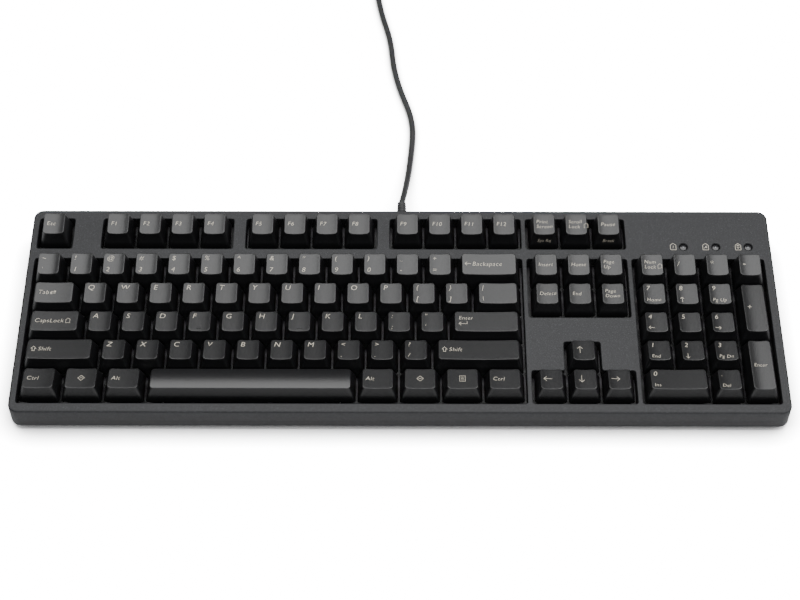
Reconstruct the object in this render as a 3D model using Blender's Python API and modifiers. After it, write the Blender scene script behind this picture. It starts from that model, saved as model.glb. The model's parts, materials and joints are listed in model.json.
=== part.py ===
"""Full-size mechanical keyboard with 104 keys, a cord and a USB plug.

World frame: +X to the right, +Y to the rear, +Z up, metres. The origin is at the centre of the case's
footprint, on the surface the keyboard stands on. The keys, switches and plate live in a tilted deck
frame: q to the right, p up the slope to the rear, h away from the plate's upper face.
"""

import math

import bmesh
import bpy
from mathutils import Matrix, Vector

# Key grid, in key units: u runs right from the grid's left edge, v rearward from its front edge.
KEY_PITCH = 0.01905
GRID_WIDE = 22.5
GRID_DEEP = 6.5
TYPING_TILT = math.radians(5.0)

# Case: margins from the key grid to the outer faces, and heights.
LEFT_MARGIN = 0.00515
RIGHT_MARGIN = 0.0062
FRONT_MARGIN = 0.0071
REAR_MARGIN = 0.0076
DECK_HEIGHT = 0.0090
DECK_THICKNESS = 0.0022
COVER_WALL = 0.0020
COVER_CORNER_RADIUS = 0.0055
COVER_BOTTOM_Z = 0.0040
WELL_MARGIN_SIDE = 0.0010
WELL_MARGIN_FRONT = 0.0013
WELL_WALL = 0.0019
WELL_WALL_GAP = 0.0004

# Bottom cover.
FLOOR_Z = 0.0008
FLOOR_THICKNESS = 0.0016
PAN_WALL = 0.0015
PAN_WALL_TOP_Z = 0.0065
FIT_GAP = 0.0003

# Plate, circuit board and switches.
PLATE_THICKNESS = 0.0015
PLATE_MARGIN = 0.0014
BOARD_DROP = 0.0050
BOARD_THICKNESS = 0.0016
BOARD_MARGIN = -0.0005
BOARD_FLOOR_GAP = 0.00055
SWITCH_HOLE = 0.0140
SWITCH_FLANGE_LAP = 0.0008
SWITCH_FLANGE = SWITCH_HOLE + 2 * SWITCH_FLANGE_LAP
SWITCH_TOP = 0.7 * SWITCH_HOLE
SWITCH_HEIGHT = 0.0066
STEM_SIZE = 0.0046
STEM_CLEARANCE = 0.0004
STEM_BOTTOM = 0.0015
KEY_TRAVEL = 0.0040

# Keycaps.
CAP_GAP = 0.0010
CAP_BASE_HEIGHT = 0.0063
CAP_TAPER_WIDE = 0.0058
CAP_TAPER_DEEP = 0.0040
CAP_TOP_SHIFT = 0.00175
CAP_WALL = 0.0013
CAP_TOP_WALL = 0.0018
WEB_WIDTH = 0.0040
WEB_HEIGHT = 0.0012

# Feet, pads, screws and lights.
FOOT_WIDTH = 0.0300
FOOT_LENGTH = 0.0185
FOOT_THICKNESS = 0.0036
FOOT_X = 0.1700
FOOT_FROM_REAR = 0.0180
FOOT_AXIS_Z = 0.0030
FOOT_PIN_RADIUS = 0.0013
FOOT_PIN_REACH = 0.0016
FOOT_CLEARANCE = 0.0005
RECESS_WALL = 0.0022
PAD_SIZE = (0.0200, 0.0080, 0.0013)
PAD_X = 0.1700
PAD_FROM_EDGE = 0.0095
SCREW_X = 0.1430
SCREW_ROW = 5.25
SCREW_RADIUS = 0.0013
SCREW_HEAD_RADIUS = 0.0027
SCREW_HEAD_HEIGHT = 0.0016
SCREW_LENGTH = 0.0100
SCREW_SEAT_WALL = 0.0016
BOSS_RADIUS = 0.0028
LIGHT_UNITS = (20.10, 21.11, 22.12)
LIGHT_ROW = 5.535
LIGHT_RADIUS = 0.0021
LIGHT_RECESS = 0.0007
LIGHT_BAR_THICKNESS = 0.0022

# Stabilizer wire of the space bar.
WIRE_RADIUS = 0.0008
WIRE_HALF_LENGTH = 0.0500
WIRE_PIVOT_FRONT = 0.0096
WIRE_PIVOT_HEIGHT = 0.0013
WIRE_TIP_FRONT = 0.0010
WIRE_TIP_HEIGHT = 0.0052

# Cord. The route and the coil are given as x, distance behind the rear wall, and height.
CORD_RADIUS = 0.0019
CORD_X = 0.0008
CORD_Z = 0.0110
SLEEVE_LENGTH = 0.0220
SLEEVE_RADIUS = 0.0031
SLEEVE_TIP_RADIUS = 0.0025
SLEEVE_COLLAR_RADIUS = 0.0042
CORD_START_GAP = 0.0008
CORD_ROUTE = [
    (0.0009, 0.0226, 0.0110),
    (0.0022, 0.0301, 0.0098),
    (0.0036, 0.0406, 0.0068),
    (0.0050, 0.0526, 0.0040),
    (0.0066, 0.0696, 0.0022),
    (0.0078, 0.0876, 0.0021),
    (0.0072, 0.0986, 0.0021),
    (0.0052, 0.1096, 0.0021),
    (0.0012, 0.1226, 0.0021),
    (-0.0026, 0.1376, 0.0021),
    (-0.0051, 0.1526, 0.0021),
    (-0.0064, 0.1676, 0.0021),
    (-0.0084, 0.1806, 0.0021),
    (-0.0115, 0.1936, 0.0021),
    (-0.0140, 0.2056, 0.0021),
    (-0.0152, 0.2176, 0.0021),
    (-0.0152, 0.2326, 0.0021),
]
CORD_POINT_COUNT = 34
COIL_CENTRE = (0.0050, 0.2546)
COIL_TURN_RADIUS = 0.0200
COIL_HALF_WIDTH = 0.0066
COIL_HEIGHT = 0.0132
PLUG_BODY = (0.0160, 0.0280, 0.0082)
PLUG_SHELL = (0.0120, 0.0120, 0.0045)
PLUG_SHELL_WALL = 0.0003
PLUG_TONGUE = 0.0018
PLUG_EDGE = 0.0012
SLEEVE_FLANGE_DEPTH = 0.0012
SLEEVE_COLLAR_DEPTH = 0.0015

# Height and slope of the keycap tops, row by row. A positive slope lifts the front edge.
ROW_PROFILES = {
    "function": (0.0112, -3.0),
    "number": (0.0112, -3.0),
    "upper": (0.00945, 1.0),
    "home": (0.0090, 6.0),
    "lower": (0.00925, 9.0),
    "bottom": (0.00925, 10.0),
    "tall": (0.0094, 4.0),
}

# Key nodes: name, row profile, v of the front edge, depth in units, then (u of the left edge, width).
KEYS = [
    ("key_escape", "function", 5.5, 1, [(0, 1)]),
    ("keys_f1_to_f4", "function", 5.5, 1, [(2, 1), (3, 1), (4, 1), (5, 1)]),
    ("keys_f5_to_f8", "function", 5.5, 1, [(6.5, 1), (7.5, 1), (8.5, 1), (9.5, 1)]),
    ("keys_f9_to_f12", "function", 5.5, 1, [(11, 1), (12, 1), (13, 1), (14, 1)]),
    ("keys_print_to_pause", "function", 5.5, 1, [(15.25, 1), (16.25, 1), (17.25, 1)]),
    ("keys_grave_to_5", "number", 4, 1, [(u, 1) for u in range(0, 6)]),
    ("keys_6_to_equals", "number", 4, 1, [(u, 1) for u in range(6, 13)]),
    ("key_backspace", "number", 4, 1, [(13, 2)]),
    ("keys_insert_to_page_up", "number", 4, 1, [(15.25, 1), (16.25, 1), (17.25, 1)]),
    ("keys_num_lock_to_minus", "number", 4, 1, [(18.5, 1), (19.5, 1), (20.5, 1), (21.5, 1)]),
    ("key_tab", "upper", 3, 1, [(0, 1.5)]),
    ("keys_q_to_t", "upper", 3, 1, [(1.5 + i, 1) for i in range(5)]),
    ("keys_y_to_bracket", "upper", 3, 1, [(6.5 + i, 1) for i in range(7)]),
    ("key_backslash", "upper", 3, 1, [(13.5, 1.5)]),
    ("keys_delete_to_page_down", "upper", 3, 1, [(15.25, 1), (16.25, 1), (17.25, 1)]),
    ("keys_num_7_to_9", "upper", 3, 1, [(18.5, 1), (19.5, 1), (20.5, 1)]),
    ("key_num_plus", "tall", 2, 2, [(21.5, 1)]),
    ("key_caps_lock", "home", 2, 1, [(0, 1.75)]),
    ("keys_a_to_g", "home", 2, 1, [(1.75 + i, 1) for i in range(5)]),
    ("keys_h_to_quote", "home", 2, 1, [(6.75 + i, 1) for i in range(6)]),
    ("key_enter", "home", 2, 1, [(12.75, 2.25)]),
    ("keys_num_4_to_6", "home", 2, 1, [(18.5, 1), (19.5, 1), (20.5, 1)]),
    ("key_left_shift", "lower", 1, 1, [(0, 2.25)]),
    ("keys_z_to_b", "lower", 1, 1, [(2.25 + i, 1) for i in range(5)]),
    ("keys_n_to_slash", "lower", 1, 1, [(7.25 + i, 1) for i in range(5)]),
    ("key_right_shift", "lower", 1, 1, [(12.25, 2.75)]),
    ("key_arrow_up", "lower", 1, 1, [(16.25, 1)]),
    ("keys_num_1_to_3", "lower", 1, 1, [(18.5, 1), (19.5, 1), (20.5, 1)]),
    ("key_num_enter", "tall", 0, 2, [(21.5, 1)]),
    ("key_left_control", "bottom", 0, 1, [(0, 1.25)]),
    ("key_left_system", "bottom", 0, 1, [(1.25, 1.25)]),
    ("key_left_alt", "bottom", 0, 1, [(2.5, 1.25)]),
    ("key_space", "bottom", 0, 1, [(3.75, 6.25)]),
    ("key_right_alt", "bottom", 0, 1, [(10, 1.25)]),
    ("key_right_system", "bottom", 0, 1, [(11.25, 1.25)]),
    ("key_menu", "bottom", 0, 1, [(12.5, 1.25)]),
    ("key_right_control", "bottom", 0, 1, [(13.75, 1.25)]),
    ("key_arrow_left", "bottom", 0, 1, [(15.25, 1)]),
    ("key_arrow_down", "bottom", 0, 1, [(16.25, 1)]),
    ("key_arrow_right", "bottom", 0, 1, [(17.25, 1)]),
    ("key_num_0", "bottom", 0, 1, [(18.5, 2)]),
    ("key_num_decimal", "bottom", 0, 1, [(20.5, 1)]),
]

# Openings in the deck: u and v of the left front corner, then width and depth in units.
WELLS = [
    (0, 5.5, 1, 1),
    (2, 5.5, 4, 1),
    (6.5, 5.5, 4, 1),
    (11, 5.5, 4, 1),
    (15.25, 5.5, 3, 1),
    (0, 0, 15, 5),
    (15.25, 3, 3, 2),
    (15.25, 0, 3, 1),
    (18.5, 0, 4, 5),
]
ARROW_UP_WELL = (16.25, 0.5, 1, 1.5)

# Derived places.
CASE_WIDTH = GRID_WIDE * KEY_PITCH + LEFT_MARGIN + RIGHT_MARGIN
GRID_X = (LEFT_MARGIN - RIGHT_MARGIN) / 2
DECK_FRONT_P = -GRID_DEEP / 2 * KEY_PITCH - FRONT_MARGIN
DECK_REAR_P = GRID_DEEP / 2 * KEY_PITCH + REAR_MARGIN
CASE_DEPTH = (DECK_REAR_P - DECK_FRONT_P) * math.cos(TYPING_TILT)
FLOOR_TOP_Z = FLOOR_Z + FLOOR_THICKNESS
BOARD_UNDERSIDE = BOARD_DROP + BOARD_THICKNESS
BOARD_FRONT_P = -GRID_DEEP / 2 * KEY_PITCH - BOARD_MARGIN
DECK_Z = (
    FLOOR_TOP_Z
    + BOARD_FLOOR_GAP
    + BOARD_UNDERSIDE * math.cos(TYPING_TILT)
    - BOARD_FRONT_P * math.sin(TYPING_TILT)
)
DECK_Y = (
    -CASE_DEPTH / 2
    - DECK_FRONT_P * math.cos(TYPING_TILT)
    + DECK_HEIGHT * math.sin(TYPING_TILT)
)
DECK_MATRIX = Matrix.Translation((GRID_X, DECK_Y, DECK_Z)) @ Matrix.Rotation(TYPING_TILT, 4, "X")
SCREW_HEAD_Z = FLOOR_Z + FIT_GAP
SCREW_SEAT_Z = SCREW_HEAD_Z + SCREW_HEAD_HEIGHT + FIT_GAP
SCREW_BOSS_Z = SCREW_SEAT_Z + SCREW_SEAT_WALL + FIT_GAP
REAR_WALL_Y = CASE_DEPTH / 2
PLUG_TURN = math.radians(-90.0)
PLUG_PLACE = (
    COIL_CENTRE[0] + COIL_TURN_RADIUS * 0.35,
    REAR_WALL_Y + COIL_CENTRE[1] + COIL_TURN_RADIUS + COIL_HALF_WIDTH + PLUG_BODY[0] / 2 + FIT_GAP,
    PLUG_BODY[2] / 2 + FIT_GAP,
)
CLEAR = 0.0200  # how far a cutter stands past what it cuts


def new_material(name, colour, roughness, metallic=0.0):
    """A Principled material with one colour."""
    material = bpy.data.materials.new(name)
    material.use_nodes = True
    shader = material.node_tree.nodes["Principled BSDF"]
    shader.inputs["Base Color"].default_value = (*colour, 1.0)
    shader.inputs["Roughness"].default_value = roughness
    shader.inputs["Metallic"].default_value = metallic
    return material


def grid_point(u, v):
    """The deck-frame q and p of a point given in key units."""
    return (u - GRID_WIDE / 2) * KEY_PITCH, (v - GRID_DEEP / 2) * KEY_PITCH


def object_from(name, mesh_builder, collection, deck=None):
    """Turns a bmesh into a named object, standing in the world or on the deck."""
    mesh = bpy.data.meshes.new(name)
    bmesh.ops.recalc_face_normals(mesh_builder, faces=mesh_builder.faces)
    mesh_builder.to_mesh(mesh)
    mesh_builder.free()
    obj = bpy.data.objects.new(name, mesh)
    collection.objects.link(obj)
    if deck is not None:
        obj.parent = deck
    return obj


def as_cutter(obj):
    """Marks an object as a helper that is not part of the model."""
    obj.hide_render = True
    obj.display_type = "WIRE"
    return obj


def add_boolean(obj, other, operation):
    """Joins or cuts an object with a helper."""
    modifier = obj.modifiers.new(operation.title(), "BOOLEAN")
    modifier.operation = operation
    modifier.object = other
    modifier.solver = "MANIFOLD"


def add_box(builder, low, high):
    """A box between two corners."""
    made = bmesh.ops.create_cube(builder, size=1.0)["verts"]
    for vert in made:
        vert.co = Vector(
            low[i] if vert.co[i] < 0 else high[i] for i in range(3)
        )
    return made


def add_block(builder, bottom, top, z_bottom, z_top):
    """A block between two rectangles (left, front, right, rear); z_top gives the height at each p."""
    made = bmesh.ops.create_cube(builder, size=1.0)["verts"]
    for vert in made:
        left, front, right, rear = top if vert.co.z > 0 else bottom
        x = left if vert.co.x < 0 else right
        y = front if vert.co.y < 0 else rear
        vert.co = Vector((x, y, z_top(y) if vert.co.z > 0 else z_bottom))
    return made


def add_cylinder(builder, radius, start, end, segments=16):
    """A round bar between two points."""
    start = Vector(start)
    span = Vector(end) - start
    place = Matrix.Translation(start + span / 2) @ span.to_track_quat("Z", "Y").to_matrix().to_4x4()
    bmesh.ops.create_cone(
        builder,
        cap_ends=True,
        segments=segments,
        radius1=radius,
        radius2=radius,
        depth=span.length,
        matrix=place,
    )


def world_from_deck(q, p, h):
    """A deck-frame point in the world frame."""
    return DECK_MATRIX @ Vector((q, p, h))


def deck_plane_z(y, h):
    """World height, at a world y, of the plane that lies h above the plate."""
    along = (y - DECK_Y + h * math.sin(TYPING_TILT)) / math.cos(TYPING_TILT)
    return DECK_Z + along * math.sin(TYPING_TILT) + h * math.cos(TYPING_TILT)


def add_wedge(builder, inset, z_bottom, top_h):
    """The case's outline, inset, from a level underside to a plane parallel to the deck."""
    half_x = CASE_WIDTH / 2 - inset
    half_y = CASE_DEPTH / 2 - inset
    outline = (-half_x, -half_y, half_x, half_y)
    verts = add_block(builder, outline, outline, z_bottom, lambda y: deck_plane_z(y, top_h))
    corners = [
        edge
        for edge in {e for v in verts for e in v.link_edges}
        if abs(edge.verts[0].co.x - edge.verts[1].co.x) < 1e-6
        and abs(edge.verts[0].co.y - edge.verts[1].co.y) < 1e-6
    ]
    bmesh.ops.bevel(
        builder,
        geom=corners,
        offset=max(COVER_CORNER_RADIUS - inset, 0.0010),
        segments=4,
        profile=0.5,
        affect="EDGES",
    )


def well_box(well, grow_side, grow_front):
    """Deck-frame rectangle of one well with its margins."""
    u, v, wide, deep = well
    left, front = grid_point(u, v)
    right, rear = grid_point(u + wide, v + deep)
    return left - grow_side, front - grow_front, right + grow_side, rear + grow_front


def make_top_cover(parts, cutters, deck, material):
    """The shell with the deck, the wells around the key blocks, and two screw bosses."""
    builder = bmesh.new()
    add_wedge(builder, 0, COVER_BOTTOM_Z, DECK_HEIGHT)
    cover = object_from("top_cover", builder, parts)
    cover.data.materials.append(material)

    builder = bmesh.new()
    add_wedge(builder, COVER_WALL, COVER_BOTTOM_Z - CLEAR, DECK_HEIGHT - DECK_THICKNESS)
    cavity = as_cutter(object_from("cover_cavity", builder, cutters))
    add_boolean(cover, cavity, "DIFFERENCE")

    lip_top = DECK_HEIGHT - DECK_THICKNESS / 2
    for index, well in enumerate(WELLS + [ARROW_UP_WELL]):
        left, front, right, rear = well_box(
            well, WELL_MARGIN_SIDE + WELL_WALL, WELL_MARGIN_FRONT + WELL_WALL
        )
        builder = bmesh.new()
        add_box(builder, (left, front, WELL_WALL_GAP), (right, rear, lip_top))
        lip = as_cutter(object_from(f"well_lip_{index}", builder, cutters, deck))
        add_boolean(cover, lip, "UNION")

    for group in (WELLS, [ARROW_UP_WELL]):
        builder = bmesh.new()
        for well in group:
            left, front, right, rear = well_box(well, WELL_MARGIN_SIDE, WELL_MARGIN_FRONT)
            add_box(builder, (left, front, -CLEAR), (right, rear, CLEAR))
        openings = as_cutter(object_from("well_openings", builder, cutters, deck))
        add_boolean(cover, openings, "DIFFERENCE")

    builder = bmesh.new()
    for sign in (-1, 1):
        x, y = screw_place(sign)
        add_cylinder(builder, BOSS_RADIUS, (x, y, SCREW_BOSS_Z), (x, y, deck_plane_z(y, lip_top)))
    bosses = as_cutter(object_from("cover_bosses", builder, cutters))
    add_boolean(cover, bosses, "UNION")

    builder = bmesh.new()
    for sign in (-1, 1):
        x, y = screw_place(sign)
        bore_top = SCREW_HEAD_Z + SCREW_HEAD_HEIGHT + SCREW_LENGTH + 2 * FIT_GAP
        add_cylinder(builder, SCREW_RADIUS + FIT_GAP, (x, y, FLOOR_Z), (x, y, bore_top))
    add_cylinder(
        builder,
        SLEEVE_RADIUS + FIT_GAP,
        (CORD_X, REAR_WALL_Y - 2 * COVER_WALL, CORD_Z),
        (CORD_X, REAR_WALL_Y + COVER_WALL, CORD_Z),
    )
    bores = as_cutter(object_from("cover_bores", builder, cutters))
    add_boolean(cover, bores, "DIFFERENCE")

    builder = bmesh.new()
    for u in LIGHT_UNITS:
        q, p = grid_point(u, LIGHT_ROW)
        add_cylinder(builder, LIGHT_RADIUS + FIT_GAP, (q, p, 0), (q, p, CLEAR))
    holes = as_cutter(object_from("light_holes", builder, cutters, deck))
    add_boolean(cover, holes, "DIFFERENCE")


def screw_place(sign):
    """World x and y of a case screw, in the bar between the number row and the function row."""
    _, p = grid_point(0, SCREW_ROW)
    point = world_from_deck(0, p, 0)
    return sign * SCREW_X, point.y


def make_bottom_cover(parts, cutters, material):
    """The pan that closes the case, with foot recesses, pad pockets and screw seats."""
    inset = COVER_WALL + FIT_GAP
    half_x = CASE_WIDTH / 2 - inset
    half_y = CASE_DEPTH / 2 - inset
    builder = bmesh.new()
    add_box(builder, (-half_x, -half_y, FLOOR_Z), (half_x, half_y, PAN_WALL_TOP_Z))
    upright = [e for e in builder.edges if abs(e.verts[0].co.z - e.verts[1].co.z) > 1e-6]
    radius = COVER_CORNER_RADIUS - inset
    bmesh.ops.bevel(builder, geom=upright, offset=radius, segments=4, profile=0.5, affect="EDGES")
    pan = object_from("bottom_cover", builder, parts)
    pan.data.materials.append(material)

    builder = bmesh.new()
    inner_x = half_x - PAN_WALL
    inner_y = half_y - PAN_WALL
    add_box(builder, (-inner_x, -inner_y, FLOOR_TOP_Z), (inner_x, inner_y, CLEAR))
    hollow = as_cutter(object_from("pan_hollow", builder, cutters))
    add_boolean(pan, hollow, "DIFFERENCE")

    builder = bmesh.new()
    for sign in (-1, 1):
        low, high = recess_corners(sign)
        wall = RECESS_WALL
        add_box(
            builder,
            (low[0] - wall, low[1] - wall, FLOOR_Z + FIT_GAP),
            (high[0] + wall, high[1] + wall, high[2] + wall / 2),
        )
        x, y = screw_place(sign)
        seat_radius = SCREW_HEAD_RADIUS + FIT_GAP + SCREW_SEAT_WALL
        add_cylinder(builder, seat_radius, (x, y, FLOOR_Z + FIT_GAP), (x, y, SCREW_BOSS_Z - FIT_GAP))
    blocks = as_cutter(object_from("pan_blocks", builder, cutters))
    add_boolean(pan, blocks, "UNION")

    builder = bmesh.new()
    for sign in (-1, 1):
        low, high = recess_corners(sign)
        add_box(builder, (low[0], low[1], -CLEAR), high)
        for end in (-1, 1):
            x, y, z = foot_pad_centre(sign, end)
            grow = [size / 2 + FIT_GAP for size in PAD_SIZE]
            add_box(
                builder,
                (x - grow[0], y - grow[1], -CLEAR),
                (x + grow[0], y + grow[1], PAD_SIZE[2] + FIT_GAP),
            )
        x, y = screw_place(sign)
        add_cylinder(builder, SCREW_HEAD_RADIUS + FIT_GAP, (x, y, -CLEAR), (x, y, SCREW_SEAT_Z))
    pockets = as_cutter(object_from("pan_pockets", builder, cutters))
    add_boolean(pan, pockets, "DIFFERENCE")

    builder = bmesh.new()
    for sign in (-1, 1):
        low, high = recess_corners(sign)
        y = foot_axis_y()
        add_cylinder(
            builder,
            FOOT_PIN_RADIUS + FIT_GAP,
            (low[0] - 2 * RECESS_WALL, y, FOOT_AXIS_Z),
            (high[0] + 2 * RECESS_WALL, y, FOOT_AXIS_Z),
        )
        x, y = screw_place(sign)
        add_cylinder(builder, SCREW_RADIUS + FIT_GAP, (x, y, FLOOR_Z), (x, y, CLEAR))
    pins = as_cutter(object_from("pan_bores", builder, cutters))
    add_boolean(pan, pins, "DIFFERENCE")


def foot_axis_y():
    """World y of the feet's hinge line."""
    return CASE_DEPTH / 2 - FOOT_FROM_REAR


def recess_corners(sign):
    """Low and high corners of the pocket that one folded foot lies in."""
    half = FOOT_WIDTH / 2 + FOOT_CLEARANCE
    y = foot_axis_y()
    swing = math.hypot(FOOT_THICKNESS / 2, FOOT_THICKNESS / 2) + FOOT_CLEARANCE
    low = (sign * FOOT_X - half, y - FOOT_LENGTH - FOOT_CLEARANCE, -CLEAR)
    high = (sign * FOOT_X + half, y + swing, FOOT_AXIS_Z + swing)
    return low, high


def foot_pad_centre(sign, end):
    """Centre of a rubber pad: sign is left or right, end is front or rear."""
    return sign * PAD_X, end * (CASE_DEPTH / 2 - PAD_FROM_EDGE), PAD_SIZE[2] / 2


def make_pads(parts, material):
    """Four rubber pads that the keyboard stands on."""
    names = {(-1, -1): "front_left", (1, -1): "front_right", (-1, 1): "rear_left", (1, 1): "rear_right"}
    for (sign, end), place in names.items():
        builder = bmesh.new()
        half = [size / 2 for size in PAD_SIZE]
        add_box(builder, [-value for value in half], half)
        pad = object_from(f"{place}_pad", builder, parts)
        pad.location = foot_pad_centre(sign, end)
        pad.data.materials.append(material)


def make_feet(parts, material):
    """Two feet that flip down from the rear of the bottom cover, each with its hinge pins."""
    for sign, side in ((-1, "left"), (1, "right")):
        half = FOOT_THICKNESS / 2
        builder = bmesh.new()
        add_box(
            builder,
            (-FOOT_WIDTH / 2, -FOOT_LENGTH, -half),
            (FOOT_WIDTH / 2, half, half),
        )
        hinge_end = [e for e in builder.edges if all(v.co.y > 0 for v in e.verts)]
        hinge_end = [e for e in hinge_end if abs(e.verts[0].co.x - e.verts[1].co.x) > half]
        bmesh.ops.bevel(
            builder, geom=hinge_end, offset=half * 0.9, segments=3, profile=0.5, affect="EDGES"
        )
        foot = object_from(f"foot_{side}", builder, parts)
        foot.location = (sign * FOOT_X, foot_axis_y(), FOOT_AXIS_Z)
        foot.data.materials.append(material)
        builder = bmesh.new()
        reach = FOOT_WIDTH / 2 + FOOT_PIN_REACH
        add_cylinder(builder, FOOT_PIN_RADIUS, (-reach, 0, 0), (reach, 0, 0), segments=12)
        pin = as_cutter(object_from(f"foot_pin_{side}", builder, CUTTERS))
        pin.location = foot.location
        add_boolean(foot, pin, "UNION")


def make_screws(parts, material):
    """Two screws that pull the bottom cover against the top cover's bosses."""
    for sign, side in ((-1, "left"), (1, "right")):
        x, y = screw_place(sign)
        top = SCREW_HEAD_HEIGHT
        profile = [
            (0, top + SCREW_LENGTH),
            (SCREW_RADIUS, top + SCREW_LENGTH),
            (SCREW_RADIUS, top),
            (SCREW_HEAD_RADIUS, top),
            (SCREW_HEAD_RADIUS, 0),
            (0, 0),
        ]
        screw = turned(f"case_screw_{side}", profile, parts, steps=16)
        screw.location = (x, y, SCREW_HEAD_Z)
        screw.data.materials.append(material)


def turned(name, profile, collection, steps):
    """A profile of (radius, height) pairs, from the top down its outer side, spun round Z."""
    builder = bmesh.new()
    verts = [builder.verts.new((radius, 0, z)) for radius, z in profile]
    for first, second in zip(verts, verts[1:]):
        builder.edges.new((first, second))
    mesh = bpy.data.meshes.new(name)
    builder.to_mesh(mesh)
    builder.free()
    obj = bpy.data.objects.new(name, mesh)
    collection.objects.link(obj)
    spin = obj.modifiers.new("Spin", "SCREW")
    spin.steps = steps
    spin.render_steps = steps
    spin.use_merge_vertices = True
    spin.merge_threshold = 0.00001
    return obj


def key_centres():
    """Every key's centre in the deck frame, with its node name."""
    for name, _, v, deep, spans in KEYS:
        for u, wide in spans:
            yield name, grid_point(u + wide / 2, v + deep / 2)


def make_plate(parts, cutters, deck, material):
    """The steel plate that the switches clip into."""
    left, front = grid_point(0, 0)
    right, rear = grid_point(GRID_WIDE, GRID_DEEP)
    grow = PLATE_MARGIN
    builder = bmesh.new()
    add_box(
        builder,
        (left - grow, front - grow, -PLATE_THICKNESS),
        (right + grow, rear + grow, 0),
    )
    plate = object_from("switch_plate", builder, parts, deck)
    plate.data.materials.append(material)
    builder = bmesh.new()
    half = SWITCH_HOLE / 2
    for _, (q, p) in key_centres():
        add_box(builder, (q - half, p - half, -CLEAR), (q + half, p + half, CLEAR))
    holes = as_cutter(object_from("switch_holes", builder, cutters, deck))
    add_boolean(plate, holes, "DIFFERENCE")
    add_boolean(plate, boss_clearance(cutters, "plate_boss_holes"), "DIFFERENCE")


def boss_clearance(cutters, name):
    """Round holes that let the cover's screw bosses through the plate and the board."""
    builder = bmesh.new()
    for sign in (-1, 1):
        x, y = screw_place(sign)
        add_cylinder(builder, BOSS_RADIUS + 2 * FIT_GAP, (x, y, -CLEAR), (x, y, 2 * CLEAR))
    return as_cutter(object_from(name, builder, cutters))


def make_board(parts, cutters, deck, material):
    """The circuit board with the 104 switch housings soldered on it, each with a well for the stem."""
    left, front = grid_point(0, 0)
    right, rear = grid_point(GRID_WIDE, GRID_DEEP)
    grow = BOARD_MARGIN
    builder = bmesh.new()
    add_box(
        builder,
        (left - grow, front - grow, -BOARD_UNDERSIDE),
        (right + grow, rear + grow, -BOARD_DROP),
    )
    board = object_from("circuit_board", builder, parts, deck)
    board.data.materials.append(material)

    body = SWITCH_HOLE / 2 - FIT_GAP
    sections = [
        (body, -BOARD_DROP - BOARD_THICKNESS / 2),
        (body, FIT_GAP),
        (SWITCH_FLANGE / 2, FIT_GAP),
        (SWITCH_TOP / 2, SWITCH_HEIGHT),
    ]
    builder = bmesh.new()
    for _, (q, p) in key_centres():
        add_stacked_squares(builder, q, p, sections)
    housings = as_cutter(object_from("switch_housings", builder, cutters, deck))
    add_boolean(board, housings, "UNION")

    half = STEM_SIZE / 2 + STEM_CLEARANCE
    well_bottom = STEM_BOTTOM - KEY_TRAVEL - STEM_CLEARANCE
    builder = bmesh.new()
    for _, (q, p) in key_centres():
        add_box(builder, (q - half, p - half, well_bottom), (q + half, p + half, CLEAR))
    wells = as_cutter(object_from("stem_wells", builder, cutters, deck))
    add_boolean(board, wells, "DIFFERENCE")
    add_boolean(board, boss_clearance(cutters, "board_boss_holes"), "DIFFERENCE")


def add_stacked_squares(builder, q, p, sections):
    """A closed stack of squares (half side, height), joined by flat faces."""
    rings = []
    for half, height in sections:
        corners = ((-half, -half), (half, -half), (half, half), (-half, half))
        rings.append([builder.verts.new((q + x, p + y, height)) for x, y in corners])
    for lower, upper in zip(rings, rings[1:]):
        for i in range(4):
            builder.faces.new((lower[i], lower[i - 3], upper[i - 3], upper[i]))
    builder.faces.new(rings[0][::-1])
    builder.faces.new(rings[-1])


def cap_rectangles(wide, deep, inset):
    """Bottom and top rectangles of a keycap of that many units, shrunk by inset."""
    half_x = (wide * KEY_PITCH - CAP_GAP) / 2 - inset
    half_y = (deep * KEY_PITCH - CAP_GAP) / 2 - inset
    top_x = half_x - CAP_TAPER_WIDE / 2
    top_y = half_y - CAP_TAPER_DEEP / 2
    bottom = (-half_x, -half_y, half_x, half_y)
    top = (-top_x, -top_y + CAP_TOP_SHIFT, top_x, top_y + CAP_TOP_SHIFT)
    return bottom, top


def moved(rectangle, x):
    """A rectangle shifted along x."""
    left, front, right, rear = rectangle
    return left + x, front, right + x, rear


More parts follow.
